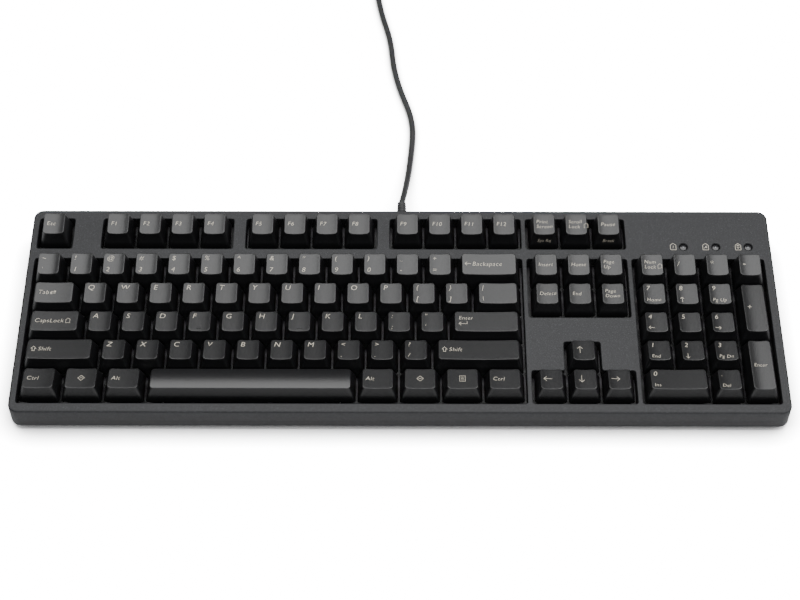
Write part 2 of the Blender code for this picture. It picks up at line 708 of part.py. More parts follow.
def make_key(node, parts, cutters, deck, material):
    """One keycap with its stem, or a run of keycaps of one row joined by thin webs at the skirt."""
    name, row, v, deep, spans = node
    height, slope = ROW_PROFILES[row]
    rise = math.tan(math.radians(slope))
    first, last = spans[0], spans[-1]
    middle = (first[0] + last[0] + last[1]) / 2
    q, p = grid_point(middle, v + deep / 2)
    shifts = [((u + wide / 2 - middle) * KEY_PITCH, wide) for u, wide in spans]

    outside = bmesh.new()
    hollow = bmesh.new()
    stems = bmesh.new()
    for x, wide in shifts:
        bottom, top = cap_rectangles(wide, deep, 0)
        add_block(
            outside, moved(bottom, x), moved(top, x), 0,
            lambda y: height - rise * (y - CAP_TOP_SHIFT),
        )
        bottom, top = cap_rectangles(wide, deep, CAP_WALL)
        add_block(
            hollow, moved(bottom, x), moved(top, x), -CAP_TOP_WALL,
            lambda y: height - CAP_TOP_WALL - rise * (y - CAP_TOP_SHIFT),
        )
        half = STEM_SIZE / 2
        stem_top = height - CAP_TOP_WALL / 2 - abs(rise) * CAP_TOP_SHIFT * 2
        add_box(
            stems, (x - half, -half, STEM_BOTTOM - CAP_BASE_HEIGHT), (x + half, half, stem_top)
        )
    key = object_from(name, outside, parts, deck)
    key.location = (q, p, CAP_BASE_HEIGHT)
    key.data.materials.append(material)

    helpers = [(hollow, "hollow", "DIFFERENCE"), (stems, "stems", "UNION")]
    if len(shifts) > 1:
        webs = bmesh.new()
        for (x, wide), (next_x, next_wide) in zip(shifts, shifts[1:]):
            edge = (x + wide * KEY_PITCH / 2 + next_x - next_wide * KEY_PITCH / 2) / 2
            reach = CAP_GAP / 2 + CAP_WALL / 2
            add_box(
                webs, (edge - reach, -WEB_WIDTH / 2, FIT_GAP), (edge + reach, WEB_WIDTH / 2, WEB_HEIGHT)
            )
        helpers.insert(0, (webs, "webs", "UNION"))
    for builder, kind, operation in helpers:
        helper = as_cutter(object_from(f"{name}_{kind}", builder, cutters, deck))
        helper.location = key.location
        add_boolean(key, helper, operation)


def make_light_guide(parts, cutters, deck, material):
    """One clear bar under the deck with three round posts that show in the indicator holes."""
    deck_underside = DECK_HEIGHT - DECK_THICKNESS
    left, p = grid_point(LIGHT_UNITS[0], LIGHT_ROW)
    right, _ = grid_point(LIGHT_UNITS[-1], LIGHT_ROW)
    bar_top = deck_underside - FIT_GAP
    half = LIGHT_RADIUS + FIT_GAP
    builder = bmesh.new()
    add_box(
        builder,
        (left - half, p - half, bar_top - LIGHT_BAR_THICKNESS),
        (right + half, p + half, bar_top),
    )
    guide = object_from("indicator_light_guide", builder, parts, deck)
    guide.data.materials.append(material)
    builder = bmesh.new()
    for u in LIGHT_UNITS:
        q, _ = grid_point(u, LIGHT_ROW)
        start = (q, p, bar_top - LIGHT_BAR_THICKNESS / 2)
        add_cylinder(builder, LIGHT_RADIUS, start, (q, p, DECK_HEIGHT - LIGHT_RECESS))
    posts = as_cutter(object_from("light_posts", builder, cutters, deck))
    add_boolean(guide, posts, "UNION")


def space_centre():
    """The space bar's centre in the deck frame."""
    return next(centre for name, centre in key_centres() if name == "key_space")


def make_stabilizer_wire(parts, deck, material):
    """The bent wire that keeps the space bar level; it turns on its long front stretch."""
    q, p = space_centre()
    reach = WIRE_PIVOT_FRONT - WIRE_TIP_FRONT
    rise = WIRE_TIP_HEIGHT - WIRE_PIVOT_HEIGHT
    route = [
        (-WIRE_HALF_LENGTH, reach, rise),
        (-WIRE_HALF_LENGTH, 0, 0),
        (WIRE_HALF_LENGTH, 0, 0),
        (WIRE_HALF_LENGTH, reach, rise),
    ]
    wire = tube("space_stabilizer_wire", route, WIRE_RADIUS, parts)
    wire.parent = deck
    wire.location = (q, p - WIRE_PIVOT_FRONT, WIRE_PIVOT_HEIGHT)
    wire.data.materials.append(material)


def tube(name, points, radius, collection):
    """A round tube along straight stretches between points."""
    curve = bpy.data.curves.new(name, "CURVE")
    curve.dimensions = "3D"
    curve.bevel_depth = radius
    curve.bevel_resolution = 2
    curve.use_fill_caps = True
    spline = curve.splines.new("POLY")
    spline.points.add(len(points) - 1)
    for target, point in zip(spline.points, points):
        target.co = (*point, 1.0)
    obj = bpy.data.objects.new(name, curve)
    collection.objects.link(obj)
    return obj


def make_strain_relief(parts, material):
    """The rubber sleeve in the rear wall: an inner flange, a groove for the wall, a collar and a taper."""
    wall = COVER_WALL
    inner_end = -(wall + FIT_GAP + SLEEVE_FLANGE_DEPTH)
    profile = [
        (0, SLEEVE_LENGTH),
        (SLEEVE_TIP_RADIUS, SLEEVE_LENGTH),
        (SLEEVE_RADIUS, FIT_GAP + SLEEVE_COLLAR_DEPTH),
        (SLEEVE_COLLAR_RADIUS, FIT_GAP + SLEEVE_COLLAR_DEPTH),
        (SLEEVE_COLLAR_RADIUS, FIT_GAP),
        (SLEEVE_RADIUS, FIT_GAP),
        (SLEEVE_RADIUS, -wall - FIT_GAP),
        (SLEEVE_COLLAR_RADIUS, -wall - FIT_GAP),
        (SLEEVE_COLLAR_RADIUS, inner_end),
        (0, inner_end),
    ]
    sleeve = turned("strain_relief", profile, parts, steps=16)
    sleeve.rotation_euler = (-math.pi / 2, 0, 0)
    sleeve.location = (CORD_X, REAR_WALL_Y, CORD_Z)
    sleeve.data.materials.append(material)


def smooth_route(points, count):
    """That many points on the Catmull-Rom curve through the route's points."""
    points = [Vector(point) for point in points]
    ends = [2 * points[0] - points[1]] + points + [2 * points[-1] - points[-2]]
    spans = len(points) - 1
    smooth = []
    for step in range(count):
        along = step / (count - 1) * spans
        index = min(int(along), spans - 1)
        t = along - index
        a, b, c, d = ends[index : index + 4]
        smooth.append(
            0.5 * (2 * b + (c - a) * t + (2 * a - 5 * b + 4 * c - d) * t**2
                   + (3 * b - a - 3 * c + d) * t**3)
        )
    return smooth


def make_cord(parts, material):
    """The cord from the sleeve to the coil, the coil of the rest, and the plug beside it."""
    places = [Vector((x, REAR_WALL_Y + behind, z)) for x, behind, z in CORD_ROUTE]
    places[0].y = REAR_WALL_Y + SLEEVE_LENGTH + CORD_START_GAP
    route = smooth_route(places, CORD_POINT_COUNT)
    cord = tube("cord", route, CORD_RADIUS, parts)
    cord.data.materials.append(material)

    inner = COIL_TURN_RADIUS - COIL_HALF_WIDTH
    outer = COIL_TURN_RADIUS + COIL_HALF_WIDTH
    soft = COIL_HEIGHT / 4
    profile = [
        (inner, COIL_HEIGHT - soft),
        (inner + soft, COIL_HEIGHT),
        (outer - soft, COIL_HEIGHT),
        (outer, COIL_HEIGHT - soft),
        (outer, soft),
        (outer - soft, 0),
        (inner + soft, 0),
        (inner, soft),
        (inner, COIL_HEIGHT - soft),
    ]
    coil = turned("cord_coil", profile, parts, steps=24)
    coil.location = (COIL_CENTRE[0], REAR_WALL_Y + COIL_CENTRE[1], 0)
    coil.data.materials.append(material)


def make_plug(parts, cutters, material):
    """The USB plug: a moulded grip and a flat metal shell with its tongue space open at the front."""
    wide, long, thick = PLUG_BODY
    builder = bmesh.new()
    add_box(builder, (-wide / 2, 0, -thick / 2), (wide / 2, long, thick / 2))
    bmesh.ops.bevel(
        builder, geom=builder.edges[:], offset=PLUG_EDGE, segments=2, profile=0.5, affect="EDGES"
    )
    plug = object_from("usb_plug", builder, parts)
    shell_wide, shell_long, shell_thick = PLUG_SHELL
    builder = bmesh.new()
    add_box(
        builder,
        (-shell_wide / 2, long - 0.0020, -shell_thick / 2),
        (shell_wide / 2, long + shell_long, shell_thick / 2),
    )
    shell = as_cutter(object_from("plug_shell", builder, cutters))
    metal = PLUG_SHELL_WALL
    builder = bmesh.new()
    add_box(
        builder,
        (-shell_wide / 2 + metal, long + 0.0010, -shell_thick / 2 + metal + PLUG_TONGUE),
        (shell_wide / 2 - metal, long + shell_long + CLEAR, shell_thick / 2 - metal),
    )
    socket = as_cutter(object_from("plug_socket", builder, cutters))
    for obj in (plug, shell, socket):
        obj.location = PLUG_PLACE
        obj.rotation_euler = (0, 0, PLUG_TURN)
    plug.data.materials.append(material)
    add_boolean(plug, shell, "UNION")
    add_boolean(plug, socket, "DIFFERENCE")


for old in list(bpy.data.objects):
    bpy.data.objects.remove(old, do_unlink=True)

PARTS = bpy.data.collections.new("mechanical_keyboard")
CUTTERS = bpy.data.collections.new("cutters")
for made in (PARTS, CUTTERS):
    bpy.context.scene.collection.children.link(made)

DECK = bpy.data.objects.new("deck_frame", None)
DECK.matrix_world = DECK_MATRIX
PARTS.objects.link(DECK)

make_top_cover(PARTS, CUTTERS, DECK, new_material("case_plastic", (0.045, 0.045, 0.048), 0.55))
make_bottom_cover(PARTS, CUTTERS, new_material("bottom_plastic", (0.02, 0.02, 0.022), 0.6))
make_plate(PARTS, CUTTERS, DECK, new_material("plate_steel", (0.02, 0.02, 0.02), 0.45, 0.8))
make_board(PARTS, CUTTERS, DECK, new_material("switch_black", (0.015, 0.015, 0.016), 0.5))
make_pads(PARTS, new_material("pad_rubber", (0.02, 0.02, 0.02), 0.9))
make_feet(PARTS, new_material("foot_plastic", (0.02, 0.02, 0.022), 0.6))
make_screws(PARTS, new_material("screw_steel", (0.25, 0.25, 0.26), 0.35, 1.0))
make_light_guide(PARTS, CUTTERS, DECK, new_material("light_guide", (0.30, 0.30, 0.28), 0.3))
make_stabilizer_wire(PARTS, DECK, new_material("spring_steel", (0.45, 0.45, 0.46), 0.3, 1.0))
CAP_MATERIAL = new_material("keycap_plastic", (0.035, 0.035, 0.038), 0.45)
for key_node in KEYS:
    make_key(key_node, PARTS, CUTTERS, DECK, CAP_MATERIAL)
make_strain_relief(PARTS, new_material("sleeve_rubber", (0.02, 0.02, 0.02), 0.7))
make_cord(PARTS, new_material("cord_vinyl", (0.02, 0.02, 0.02), 0.55))
make_plug(PARTS, CUTTERS, new_material("plug_plastic", (0.02, 0.02, 0.02), 0.5))
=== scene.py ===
"""A full-size mechanical keyboard, dressed for rendering over its fixed CAD frame.

Every finished piece sits at the origin with its place in its mesh, in metres.
"""

import json
import math

import bmesh
import bpy
import numpy as np
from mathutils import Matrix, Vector
from mathutils.geometry import tessellate_polygon


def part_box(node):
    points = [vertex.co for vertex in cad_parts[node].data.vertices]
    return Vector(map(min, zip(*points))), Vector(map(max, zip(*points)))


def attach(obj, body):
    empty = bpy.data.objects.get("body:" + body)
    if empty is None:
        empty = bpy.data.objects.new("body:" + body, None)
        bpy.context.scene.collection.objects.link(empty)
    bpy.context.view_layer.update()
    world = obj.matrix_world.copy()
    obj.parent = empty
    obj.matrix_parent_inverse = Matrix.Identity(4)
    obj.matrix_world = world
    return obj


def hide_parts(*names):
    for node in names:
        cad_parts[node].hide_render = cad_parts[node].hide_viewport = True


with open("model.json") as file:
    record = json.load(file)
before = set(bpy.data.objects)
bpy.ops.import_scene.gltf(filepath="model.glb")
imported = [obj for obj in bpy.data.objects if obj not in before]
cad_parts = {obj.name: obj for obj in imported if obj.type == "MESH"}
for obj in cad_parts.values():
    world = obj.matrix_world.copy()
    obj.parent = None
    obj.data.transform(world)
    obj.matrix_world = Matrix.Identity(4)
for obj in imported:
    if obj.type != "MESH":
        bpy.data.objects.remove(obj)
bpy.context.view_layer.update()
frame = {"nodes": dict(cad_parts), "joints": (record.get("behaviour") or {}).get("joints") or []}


# ---------------------------------------------------------------------------------------------
# Studio: a pale table top, a wide soft light above and behind, and weak light from the room.
# The camera looks down on the front of the keyboard.
# ---------------------------------------------------------------------------------------------
def aim(thing, place, target):
    """Stands a lamp or a camera at a place and turns it towards a target, with its top up."""
    thing.location = place
    thing.rotation_euler = (Vector(target) - Vector(place)).to_track_quat("-Z", "Y").to_euler()
    bpy.context.scene.collection.objects.link(thing)


camera = bpy.data.cameras.new("studio_camera")
camera.lens = 78.12
camera_object = bpy.data.objects.new("studio_camera", camera)
aim(camera_object, (0.0014, -0.6106, 0.8251), (-0.0001, 0.0240, 0.0))
bpy.context.scene.camera = camera_object


def soft_light(name, place, target, wide, deep, watts):
    """A rectangular lamp of that size and power, aimed at a target."""
    lamp = bpy.data.lights.new(name, "AREA")
    lamp.shape = "RECTANGLE"
    lamp.size = wide
    lamp.size_y = deep
    lamp.energy = watts
    aim(bpy.data.objects.new(name, lamp), place, target)


soft_light("overhead_light", (0.0, 0.25, 1.35), (0.0, 0.08, 0.0), 1.8, 1.20, 36.0)
soft_light("side_light", (1.35, 0.10, 0.75), (0.10, 0.0, 0.0), 0.5, 1.0, 9.0)
soft_light("front_light", (0.30, -1.15, 1.15), (0.0, 0.0, 0.0), 1.5, 0.35, 12.0)

world = bpy.data.worlds.new("room")
world.use_nodes = True
world.node_tree.nodes["Background"].inputs["Color"].default_value = (0.93, 0.96, 1.0, 1.0)
world.node_tree.nodes["Background"].inputs["Strength"].default_value = 0.11
bpy.context.scene.world = world


def new_surface(name, colour, roughness, metallic=0.0):
    """A Principled material; returns it with its node tree and its shader node."""
    material = bpy.data.materials.new(name)
    material.use_nodes = True
    tree = material.node_tree
    shader = tree.nodes["Principled BSDF"]
    shader.inputs["Base Color"].default_value = (*colour, 1.0)
    shader.inputs["Roughness"].default_value = roughness
    shader.inputs["Metallic"].default_value = metallic
    return material, tree, shader


def speckle(tree, scale, detail=2.0, stretch=None):
    """Noise on the object's own coordinates; scale is in waves per metre."""
    coordinates = tree.nodes.new("ShaderNodeTexCoord")
    noise = tree.nodes.new("ShaderNodeTexNoise")
    noise.inputs["Scale"].default_value = scale
    noise.inputs["Detail"].default_value = detail
    place = coordinates.outputs["Object"]
    if stretch:
        mapping = tree.nodes.new("ShaderNodeMapping")
        mapping.inputs["Scale"].default_value = stretch
        tree.links.new(place, mapping.inputs["Vector"])
        place = mapping.outputs["Vector"]
    tree.links.new(place, noise.inputs["Vector"])
    return noise.outputs["Fac"]


def ramp(tree, factor, stops):
    """A colour ramp over a factor; stops are (position, colour)."""
    node = tree.nodes.new("ShaderNodeValToRGB")
    while len(node.color_ramp.elements) < len(stops):
        node.color_ramp.elements.new(0.5)
    for element, (position, colour) in zip(node.color_ramp.elements, stops):
        element.position = position
        element.color = (*colour, 1.0)
    tree.links.new(factor, node.inputs["Fac"])
    return node.outputs["Color"]


def spread(tree, factor, low, high, to_low, to_high):
    """A factor rescaled from one range to another."""
    node = tree.nodes.new("ShaderNodeMapRange")
    for socket, value in (("From Min", low), ("From Max", high), ("To Min", to_low), ("To Max", to_high)):
        node.inputs[socket].default_value = value
    tree.links.new(factor, node.inputs["Value"])
    return node.outputs["Result"]


def dents(tree, shader, factor, depth, strength=1.0):
    """Bumps of that depth in metres, from a factor."""
    bump = tree.nodes.new("ShaderNodeBump")
    bump.inputs["Distance"].default_value = depth
    bump.inputs["Strength"].default_value = strength
    tree.links.new(factor, bump.inputs["Height"])
    tree.links.new(bump.outputs["Normal"], shader.inputs["Normal"])


# The table is white paper. Seen straight it is exposed to white, with a painted contact shadow that darkens it where
# something stands close over it, while what it sends back to the keyboard stays that of paper.
table_top, tree, shader = new_surface("table_paper_painted_contact_shadow", (0.80, 0.805, 0.81), 0.9)
direct = tree.nodes.new("ShaderNodeLightPath")
exposed = tree.nodes.new("ShaderNodeMix")
exposed.data_type = "RGBA"
exposed.inputs[6].default_value = (0.80, 0.805, 0.81, 1.0)
# Painted contact shadow: ambient occlusion within 18 mm, cubed, takes the paper's colour from exposed white down to
# grey.
nearby = tree.nodes.new("ShaderNodeAmbientOcclusion")
nearby.inputs["Distance"].default_value = 0.018
open_share = tree.nodes.new("ShaderNodeMath")
open_share.operation = "POWER"
tree.links.new(nearby.outputs["AO"], open_share.inputs[0])
open_share.inputs[1].default_value = 3.0
paper_colour_with_painted_shadow = ramp(tree, open_share.outputs[0], [(0.0, (0.3, 0.3, 0.3)), (1.0, (12.0, 12.05, 12.1))])
tree.links.new(paper_colour_with_painted_shadow, exposed.inputs[7])
tree.links.new(direct.outputs["Is Camera Ray"], exposed.inputs[0])
tree.links.new(exposed.outputs[2], shader.inputs["Base Color"])
floor_mesh = bpy.data.meshes.new("table_top")
floor_mesh.from_pydata(
    [(-4.0, -3.0, 0.0), (4.0, -3.0, 0.0), (4.0, 5.0, 0.0), (-4.0, 5.0, 0.0)], [], [(0, 1, 2, 3)]
)
floor_mesh.materials.append(table_top)
floor = bpy.data.objects.new("table_top", floor_mesh)
bpy.context.scene.collection.objects.link(floor)


# ---------------------------------------------------------------------------------------------
# Cord: 1.5 m of black round cable from the middle of the rear wall to a USB plug. It runs back
# over the table, and the rest is wound in three layers of three turns and held with a strip tie.
# ---------------------------------------------------------------------------------------------
MM = 0.001
CORD_RADIUS = 1.9 * MM
sleeve_low, sleeve_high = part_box("strain_relief")
CORD_EXIT = (
    (sleeve_low.x + sleeve_high.x) / 2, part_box("top_cover")[1].y, (sleeve_low.z + sleeve_high.z) / 2
)
# The route is given in mm as x, distance behind the rear wall, and height.
ROUTE = np.array([
    (0.8, 13.6, 11.0), (0.8, 19.6, 11.0), (0.9, 22.8, 11.0), (2.2, 30.1, 9.8), (3.6, 40.6, 6.8),
    (5.0, 52.6, 4.0), (6.6, 69.6, 2.2), (7.8, 87.6, 2.1), (7.2, 98.6, 2.1), (5.2, 109.6, 2.1),
    (1.2, 122.6, 2.1), (-2.6, 137.6, 2.1), (-5.1, 152.6, 2.1), (-6.4, 167.6, 2.1),
    (-8.4, 180.6, 2.1), (-11.5, 193.6, 2.1), (-14.0, 205.6, 2.1), (-15.8, 217.6, 2.1),
    (-17.2, 228.6, 2.1), (-18.3, 239.6, 2.1), (-19.0, 247.6, 2.1),
]) * MM + (0.0, CORD_EXIT[1], 0.0)
coil_low, coil_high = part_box("cord_coil")
COIL_MIDDLE = np.array((coil_low.x + coil_high.x, coil_low.y + coil_high.y)) / 2
TURN_RADII = np.array((24.1, 20.0, 15.9, 15.9, 20.0, 24.1, 24.1, 20.0, 15.9)) * MM
TURN_HEIGHTS = np.array((2.1, 2.1, 2.1, 6.2, 6.2, 6.2, 10.3, 10.3, 10.3)) * MM
plug_low, plug_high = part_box("usb_plug")
PLUG_ENTRY = np.array((plug_low.x, (plug_low.y + plug_high.y) / 2, (plug_low.z + plug_high.z) / 2))


def smooth_route(points, count):
    """That many points on the curve whose stretches are the Catmull-Rom cubics through the points."""
    ends = np.vstack((2 * points[0] - points[1], points, 2 * points[-1] - points[-2]))
    along = np.linspace(0, len(points) - 1, count)
    first = np.minimum(along.astype(int), len(points) - 2)
    t = (along - first)[:, None]
    a, b, c, d = (ends[first + k] for k in range(4))
    return 0.5 * (2 * b + (c - a) * t + (2 * a - 5 * b + 4 * c - d) * t**2
                  + (3 * b - a - 3 * c + d) * t**3)


def ease(value):
    """Nought to one with level ends: 3v squared minus 2v cubed."""
    value = np.clip(value, 0, 1)
    return value * value * (3 - 2 * value)


def wound_turns(per_turn):
    """The coil's line, clockwise from its left side. Each turn is a circle for two thirds of its way,
    then eases over to the radius and height of the next one."""
    steps = per_turn * len(TURN_RADII)
    along = np.arange(1, steps) / per_turn
    turn = np.minimum(along.astype(int), len(TURN_RADII) - 1)
    following = np.minimum(turn + 1, len(TURN_RADII) - 1)
    over = ease((along - turn - 0.70) / 0.22)
    radius = TURN_RADII[turn] + (TURN_RADII[following] - TURN_RADII[turn]) * over
    rise = np.append(TURN_HEIGHTS, 14.5 * MM)
    height = rise[turn] + (rise[turn + 1] - rise[turn]) * over
    angle = math.pi - 2 * math.pi * along
    return np.stack(
        (COIL_MIDDLE[0] + radius * np.cos(angle), COIL_MIDDLE[1] + radius * np.sin(angle), height), 1
    )


def polar(angle, radius, height):
    """A point round the coil's middle, with its angle in degrees."""
    angle = math.radians(angle)
    return (COIL_MIDDLE[0] + radius * math.cos(angle), COIL_MIDDLE[1] + radius * math.sin(angle), height)


tail = smooth_route(np.array([
    polar(190, 16.2 * MM, 14.5 * MM), polar(172, 18.5 * MM, 14.6 * MM), polar(154, 23.0 * MM, 14.5 * MM),
    polar(138, 28.6 * MM, 12.8 * MM), polar(124, 32.6 * MM, 8.6 * MM), polar(111, 35.2 * MM, 5.2 * MM),
    tuple(PLUG_ENTRY - (5 * MM, 0, 0)), tuple(PLUG_ENTRY + (2 * MM, 0, 0)),
]), 20)
cord_line = np.vstack((smooth_route(ROUTE, 39), wound_turns(18)[:-1], tail))

rubber, tree, shader = new_surface("black_cord_rubber", (0.020, 0.020, 0.021), 0.42)
dents(tree, shader, speckle(tree, 2600.0, 3.0), 0.00003)
tree.links.new(
    spread(tree, speckle(tree, 220.0), 0.3, 0.7, 0.38, 0.50), shader.inputs["Roughness"]
)


def ride_in_place(piece, body, nodes):
    """Joins a finished piece to its body, its CAD nodes and its finish."""
    if piece.name not in bpy.context.scene.collection.objects:
        bpy.context.scene.collection.objects.link(piece)
    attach(piece, body)
    if nodes:
        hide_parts(*nodes)
    return piece


cord_curve = bpy.data.curves.new("round_cord", "CURVE")
cord_curve.dimensions = "3D"
cord_curve.bevel_depth = CORD_RADIUS
cord_curve.bevel_resolution = 4
cord_curve.resolution_u = 4
cord_curve.use_fill_caps = True
spline = cord_curve.splines.new("NURBS")
spline.points.add(len(cord_line) - 1)
spline.points.foreach_set("co", np.hstack((cord_line, np.ones((len(cord_line), 1)))).ravel())
spline.order_u = 4
spline.use_endpoint_u = True
cord_curve.materials.append(rubber)
cord_piece = bpy.data.objects.new("round_cord", cord_curve)
ride_in_place(cord_piece, "case", ("cord", "cord_coil"))


def loop_grid(rows, columns):
    """Quads of a grid whose last column joins its first; rows run up, columns counter-clockwise."""
    row, column = np.meshgrid(np.arange(rows - 1), np.arange(columns), indexing="ij")
    after = (column + 1) % columns
    quads = (row * columns + column, row * columns + after,
             (row + 1) * columns + after, (row + 1) * columns + column)
    return np.stack(quads, -1).reshape(-1, 4)


def sheet_grid(rows, columns):
    """Quads of an open grid; rows run rearward and columns to the right, so the faces look up."""
    row, column = np.meshgrid(np.arange(rows - 1), np.arange(columns - 1), indexing="ij")
    first = row * columns + column
    return np.stack((first, first + 1, first + columns + 1, first + columns), -1).reshape(-1, 4)


def piece_from(name, patches, finishes, weld=2e-6):
    """One object from patches of (points, faces, finish number, smooth), with shared edges welded."""
    points, faces, numbers, smooth, start = [], [], [], [], 0
    for patch_points, patch_faces, number, is_smooth in patches:
        patch_points = np.asarray(patch_points, float).reshape(-1, 3)
        points.append(patch_points)
        faces.extend((np.asarray(face) + start).tolist() for face in patch_faces)
        numbers.extend([number] * len(patch_faces))
        smooth.extend([is_smooth] * len(patch_faces))
        start += len(patch_points)
    mesh = bpy.data.meshes.new(name)
    mesh.from_pydata(np.vstack(points), [], faces)
    mesh.polygons.foreach_set("material_index", numbers)
    mesh.polygons.foreach_set("use_smooth", smooth)
    if weld:
        builder = bmesh.new()
        builder.from_mesh(mesh)
        bmesh.ops.remove_doubles(builder, verts=builder.verts, dist=weld)
        builder.to_mesh(mesh)
        builder.free()
    for finish in finishes:
        mesh.materials.append(finish)
    piece = bpy.data.objects.new(name, mesh)
    bpy.context.scene.collection.objects.link(piece)
    return piece


def turned_rings(profile, segments):
    """Rings of (radius, distance) points about an axis: x and y are the radius times the cosine and sine
    of the angle, z is the distance."""
    profile = np.asarray(profile, float)
    angle = np.linspace(0, 2 * np.pi, segments, endpoint=False)
    x = profile[:, :1] * np.cos(angle)
    y = profile[:, :1] * np.sin(angle)
    z = np.broadcast_to(profile[:, 1:], x.shape)
    return np.stack((x, y, z), -1)


# Tie: a thin plastic strip once round the coil's bundle, on the side away from the plug.
def strip_tie():
    """A flat strip carried round a rounded rectangle that encloses the turns: across it the strip is
    4 mm wide, and its two faces lie a quarter of a millimetre apart."""
    inner = 13.4 * MM
    outer = 26.6 * MM
    top = 12.7 * MM
    corners = [(inner, 0.15 * MM), (outer, 0.15 * MM), (outer, top), (inner, top)]
    line, normals = rounded_outline(corners, 3.0 * MM, 5)
    half_width, half_thick = 2.0 * MM, 0.13 * MM
    section = np.array([
        (-half_width, -half_thick), (half_width, -half_thick),
        (half_width, half_thick), (-half_width, half_thick),
    ])
    radial = line[None, :, 0] + section[:, 1:] * normals[None, :, 0]
    height = line[None, :, 1] + section[:, 1:] * normals[None, :, 1]
    across = np.broadcast_to(section[:, :1], radial.shape)
    turn = math.radians(-35)
    x = COIL_MIDDLE[0] + radial * math.cos(turn) - across * math.sin(turn)
    y = COIL_MIDDLE[1] + radial * math.sin(turn) + across * math.cos(turn)
    return np.stack((x, y, height), -1)


def rounded_outline(corners, radius, steps):
    """Points round a polygon whose corners are arcs, and their outward directions. Corners run
    counter-clockwise; an inner corner's arc is taken the other way round. Each arc's centre lies a
    radius away from both of its sides."""
    corners = np.asarray(corners, float)
    before = corners - np.roll(corners, 1, 0)
    after = np.roll(corners, -1, 0) - corners
    before /= np.linalg.norm(before, axis=1)[:, None]
    after /= np.linalg.norm(after, axis=1)[:, None]
    bend = np.sign(before[:, 0] * after[:, 1] - before[:, 1] * after[:, 0])[:, None]
    normal_before = np.stack((before[:, 1], -before[:, 0]), 1)
    normal_after = np.stack((after[:, 1], -after[:, 0]), 1)
    centres = corners - bend * radius * (normal_before + normal_after)
    t = np.linspace(0, np.pi / 2, steps + 1)[None, :, None]
    normals = normal_before[:, None] * np.cos(t) + normal_after[:, None] * np.sin(t)
    points = centres[:, None] + bend[:, None] * radius * normals
    return points.reshape(-1, 2), normals.reshape(-1, 2)


tie_plastic, tree, shader = new_surface("tie_strip_plastic", (0.03, 0.03, 0.03), 0.35)
dents(tree, shader, speckle(tree, 900.0), 0.00005)
tie_points = strip_tie()
tie = piece_from(
    "coil_tie",
    [(np.vstack((tie_points, tie_points[:1])), loop_grid(5, tie_points.shape[1]), 0, True)],
    [tie_plastic],
)
ride_in_place(tie, "case", ())


# ---------------------------------------------------------------------------------------------
# Strain relief: a black rubber sleeve moulded onto the cord and held in the rear wall by its
# collar. Rings cut into its taper let it bend.
# ---------------------------------------------------------------------------------------------
def sleeve_profile():
    """Radius against distance from the wall: a rounded collar, then a straight taper in which every
    other step is a narrower groove, and a rounded end that closes on the cord."""
    rows = [(1.4, -3.2), (4.1, -3.2), (4.2, -3.0), (4.2, -2.3), (3.1, -2.3), (3.1, 0.3), (4.0, 0.3),
            (4.2, 0.5), (4.2, 1.6), (4.05, 1.8)]
    start, end, ribs = 2.6, 20.4, 9
    pitch = (end - start) / ribs
    for rib in range(ribs):
        near = start + rib * pitch
        outer = 3.3 - 0.65 * (near - start) / (end - start)
        groove = outer - 0.42
        rows += [(outer, near), (outer, near + 0.58 * pitch), (groove, near + 0.66 * pitch),
                 (groove, near + 0.92 * pitch)]
    rows += [(2.6, 20.6), (2.6, 21.6), (2.45, 21.9), (1.6, 22.0)]
    return np.array(rows) * MM


rear_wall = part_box("top_cover")[1].y
rings = turned_rings(sleeve_profile(), 32)
sleeve_points = np.stack(
    (CORD_EXIT[0] - rings[..., 0], rear_wall + rings[..., 2], CORD_EXIT[2] + rings[..., 1]), -1
)
sleeve = piece_from(
    "strain_relief_sleeve",
    [(sleeve_points, loop_grid(*sleeve_points.shape[:2]), 0, True),
     (sleeve_points[0], [np.arange(32)[::-1]], 0, False),
     (sleeve_points[-1], [np.arange(32)], 0, False)],
    [rubber],
)
ride_in_place(sleeve, "case", ("strain_relief",))
sleeve.modifiers.new("edges", "BEVEL").width = 0.00008


# ---------------------------------------------------------------------------------------------
# USB plug: a moulded grip with finger ridges, a folded steel shell with two latch windows, and
# a tongue with four gilt contacts.
# ---------------------------------------------------------------------------------------------
def rounded_rings(half_x, half_y, radius, along_x, along_y, arc):
    """Rows of points counter-clockwise round rounded rectangles, a row for each half width, half depth
    and corner radius: straight sides in even steps, corners as quarter circles."""
    a, b, r = (np.asarray(v, float).reshape(-1, 1) for v in np.broadcast_arrays(half_x, half_y, radius))
    s = np.linspace(-1, 1, along_x + 1)
    t = np.linspace(-1, 1, along_y + 1)
    turn = np.linspace(0, np.pi / 2, arc + 1)[1:-1]
    sine, cosine = np.sin(turn), np.cos(turn)
    flat_x, flat_y = a - r, b - r
    x = np.hstack((s * flat_x, flat_x + r * sine, a + 0 * t, flat_x + r * cosine,
                   -s * flat_x, -flat_x - r * sine, -a - 0 * t, -flat_x - r * cosine))
    y = np.hstack((-b + 0 * s, -flat_y - r * cosine, t * flat_y, flat_y + r * sine,
                   b + 0 * s, flat_y + r * cosine, -t * flat_y, -flat_y - r * sine))
    return x, y


def rounded_sheet(half_x, half_y, radius, along_x, along_y, arc):
    """A grid over one rounded rectangle, whose rim has the same points as its ring: each row is even
    steps across the width that the outline has at that depth."""
    turn = np.linspace(0, np.pi / 2, arc + 1)
    s = np.linspace(-1, 1, along_x + 1)
    t = np.linspace(-1, 1, along_y + 1)[1:-1]
    flat_x, flat_y = half_x - radius, half_y - radius
    depth = np.concatenate((-flat_y - radius * np.cos(turn), t * flat_y, flat_y + radius * np.sin(turn)))
    width = np.concatenate((flat_x + radius * np.sin(turn), half_x + 0 * t, flat_x + radius * np.cos(turn)))
    return s[None, :] * width[:, None], np.broadcast_to(depth[:, None], (len(depth), len(s)))


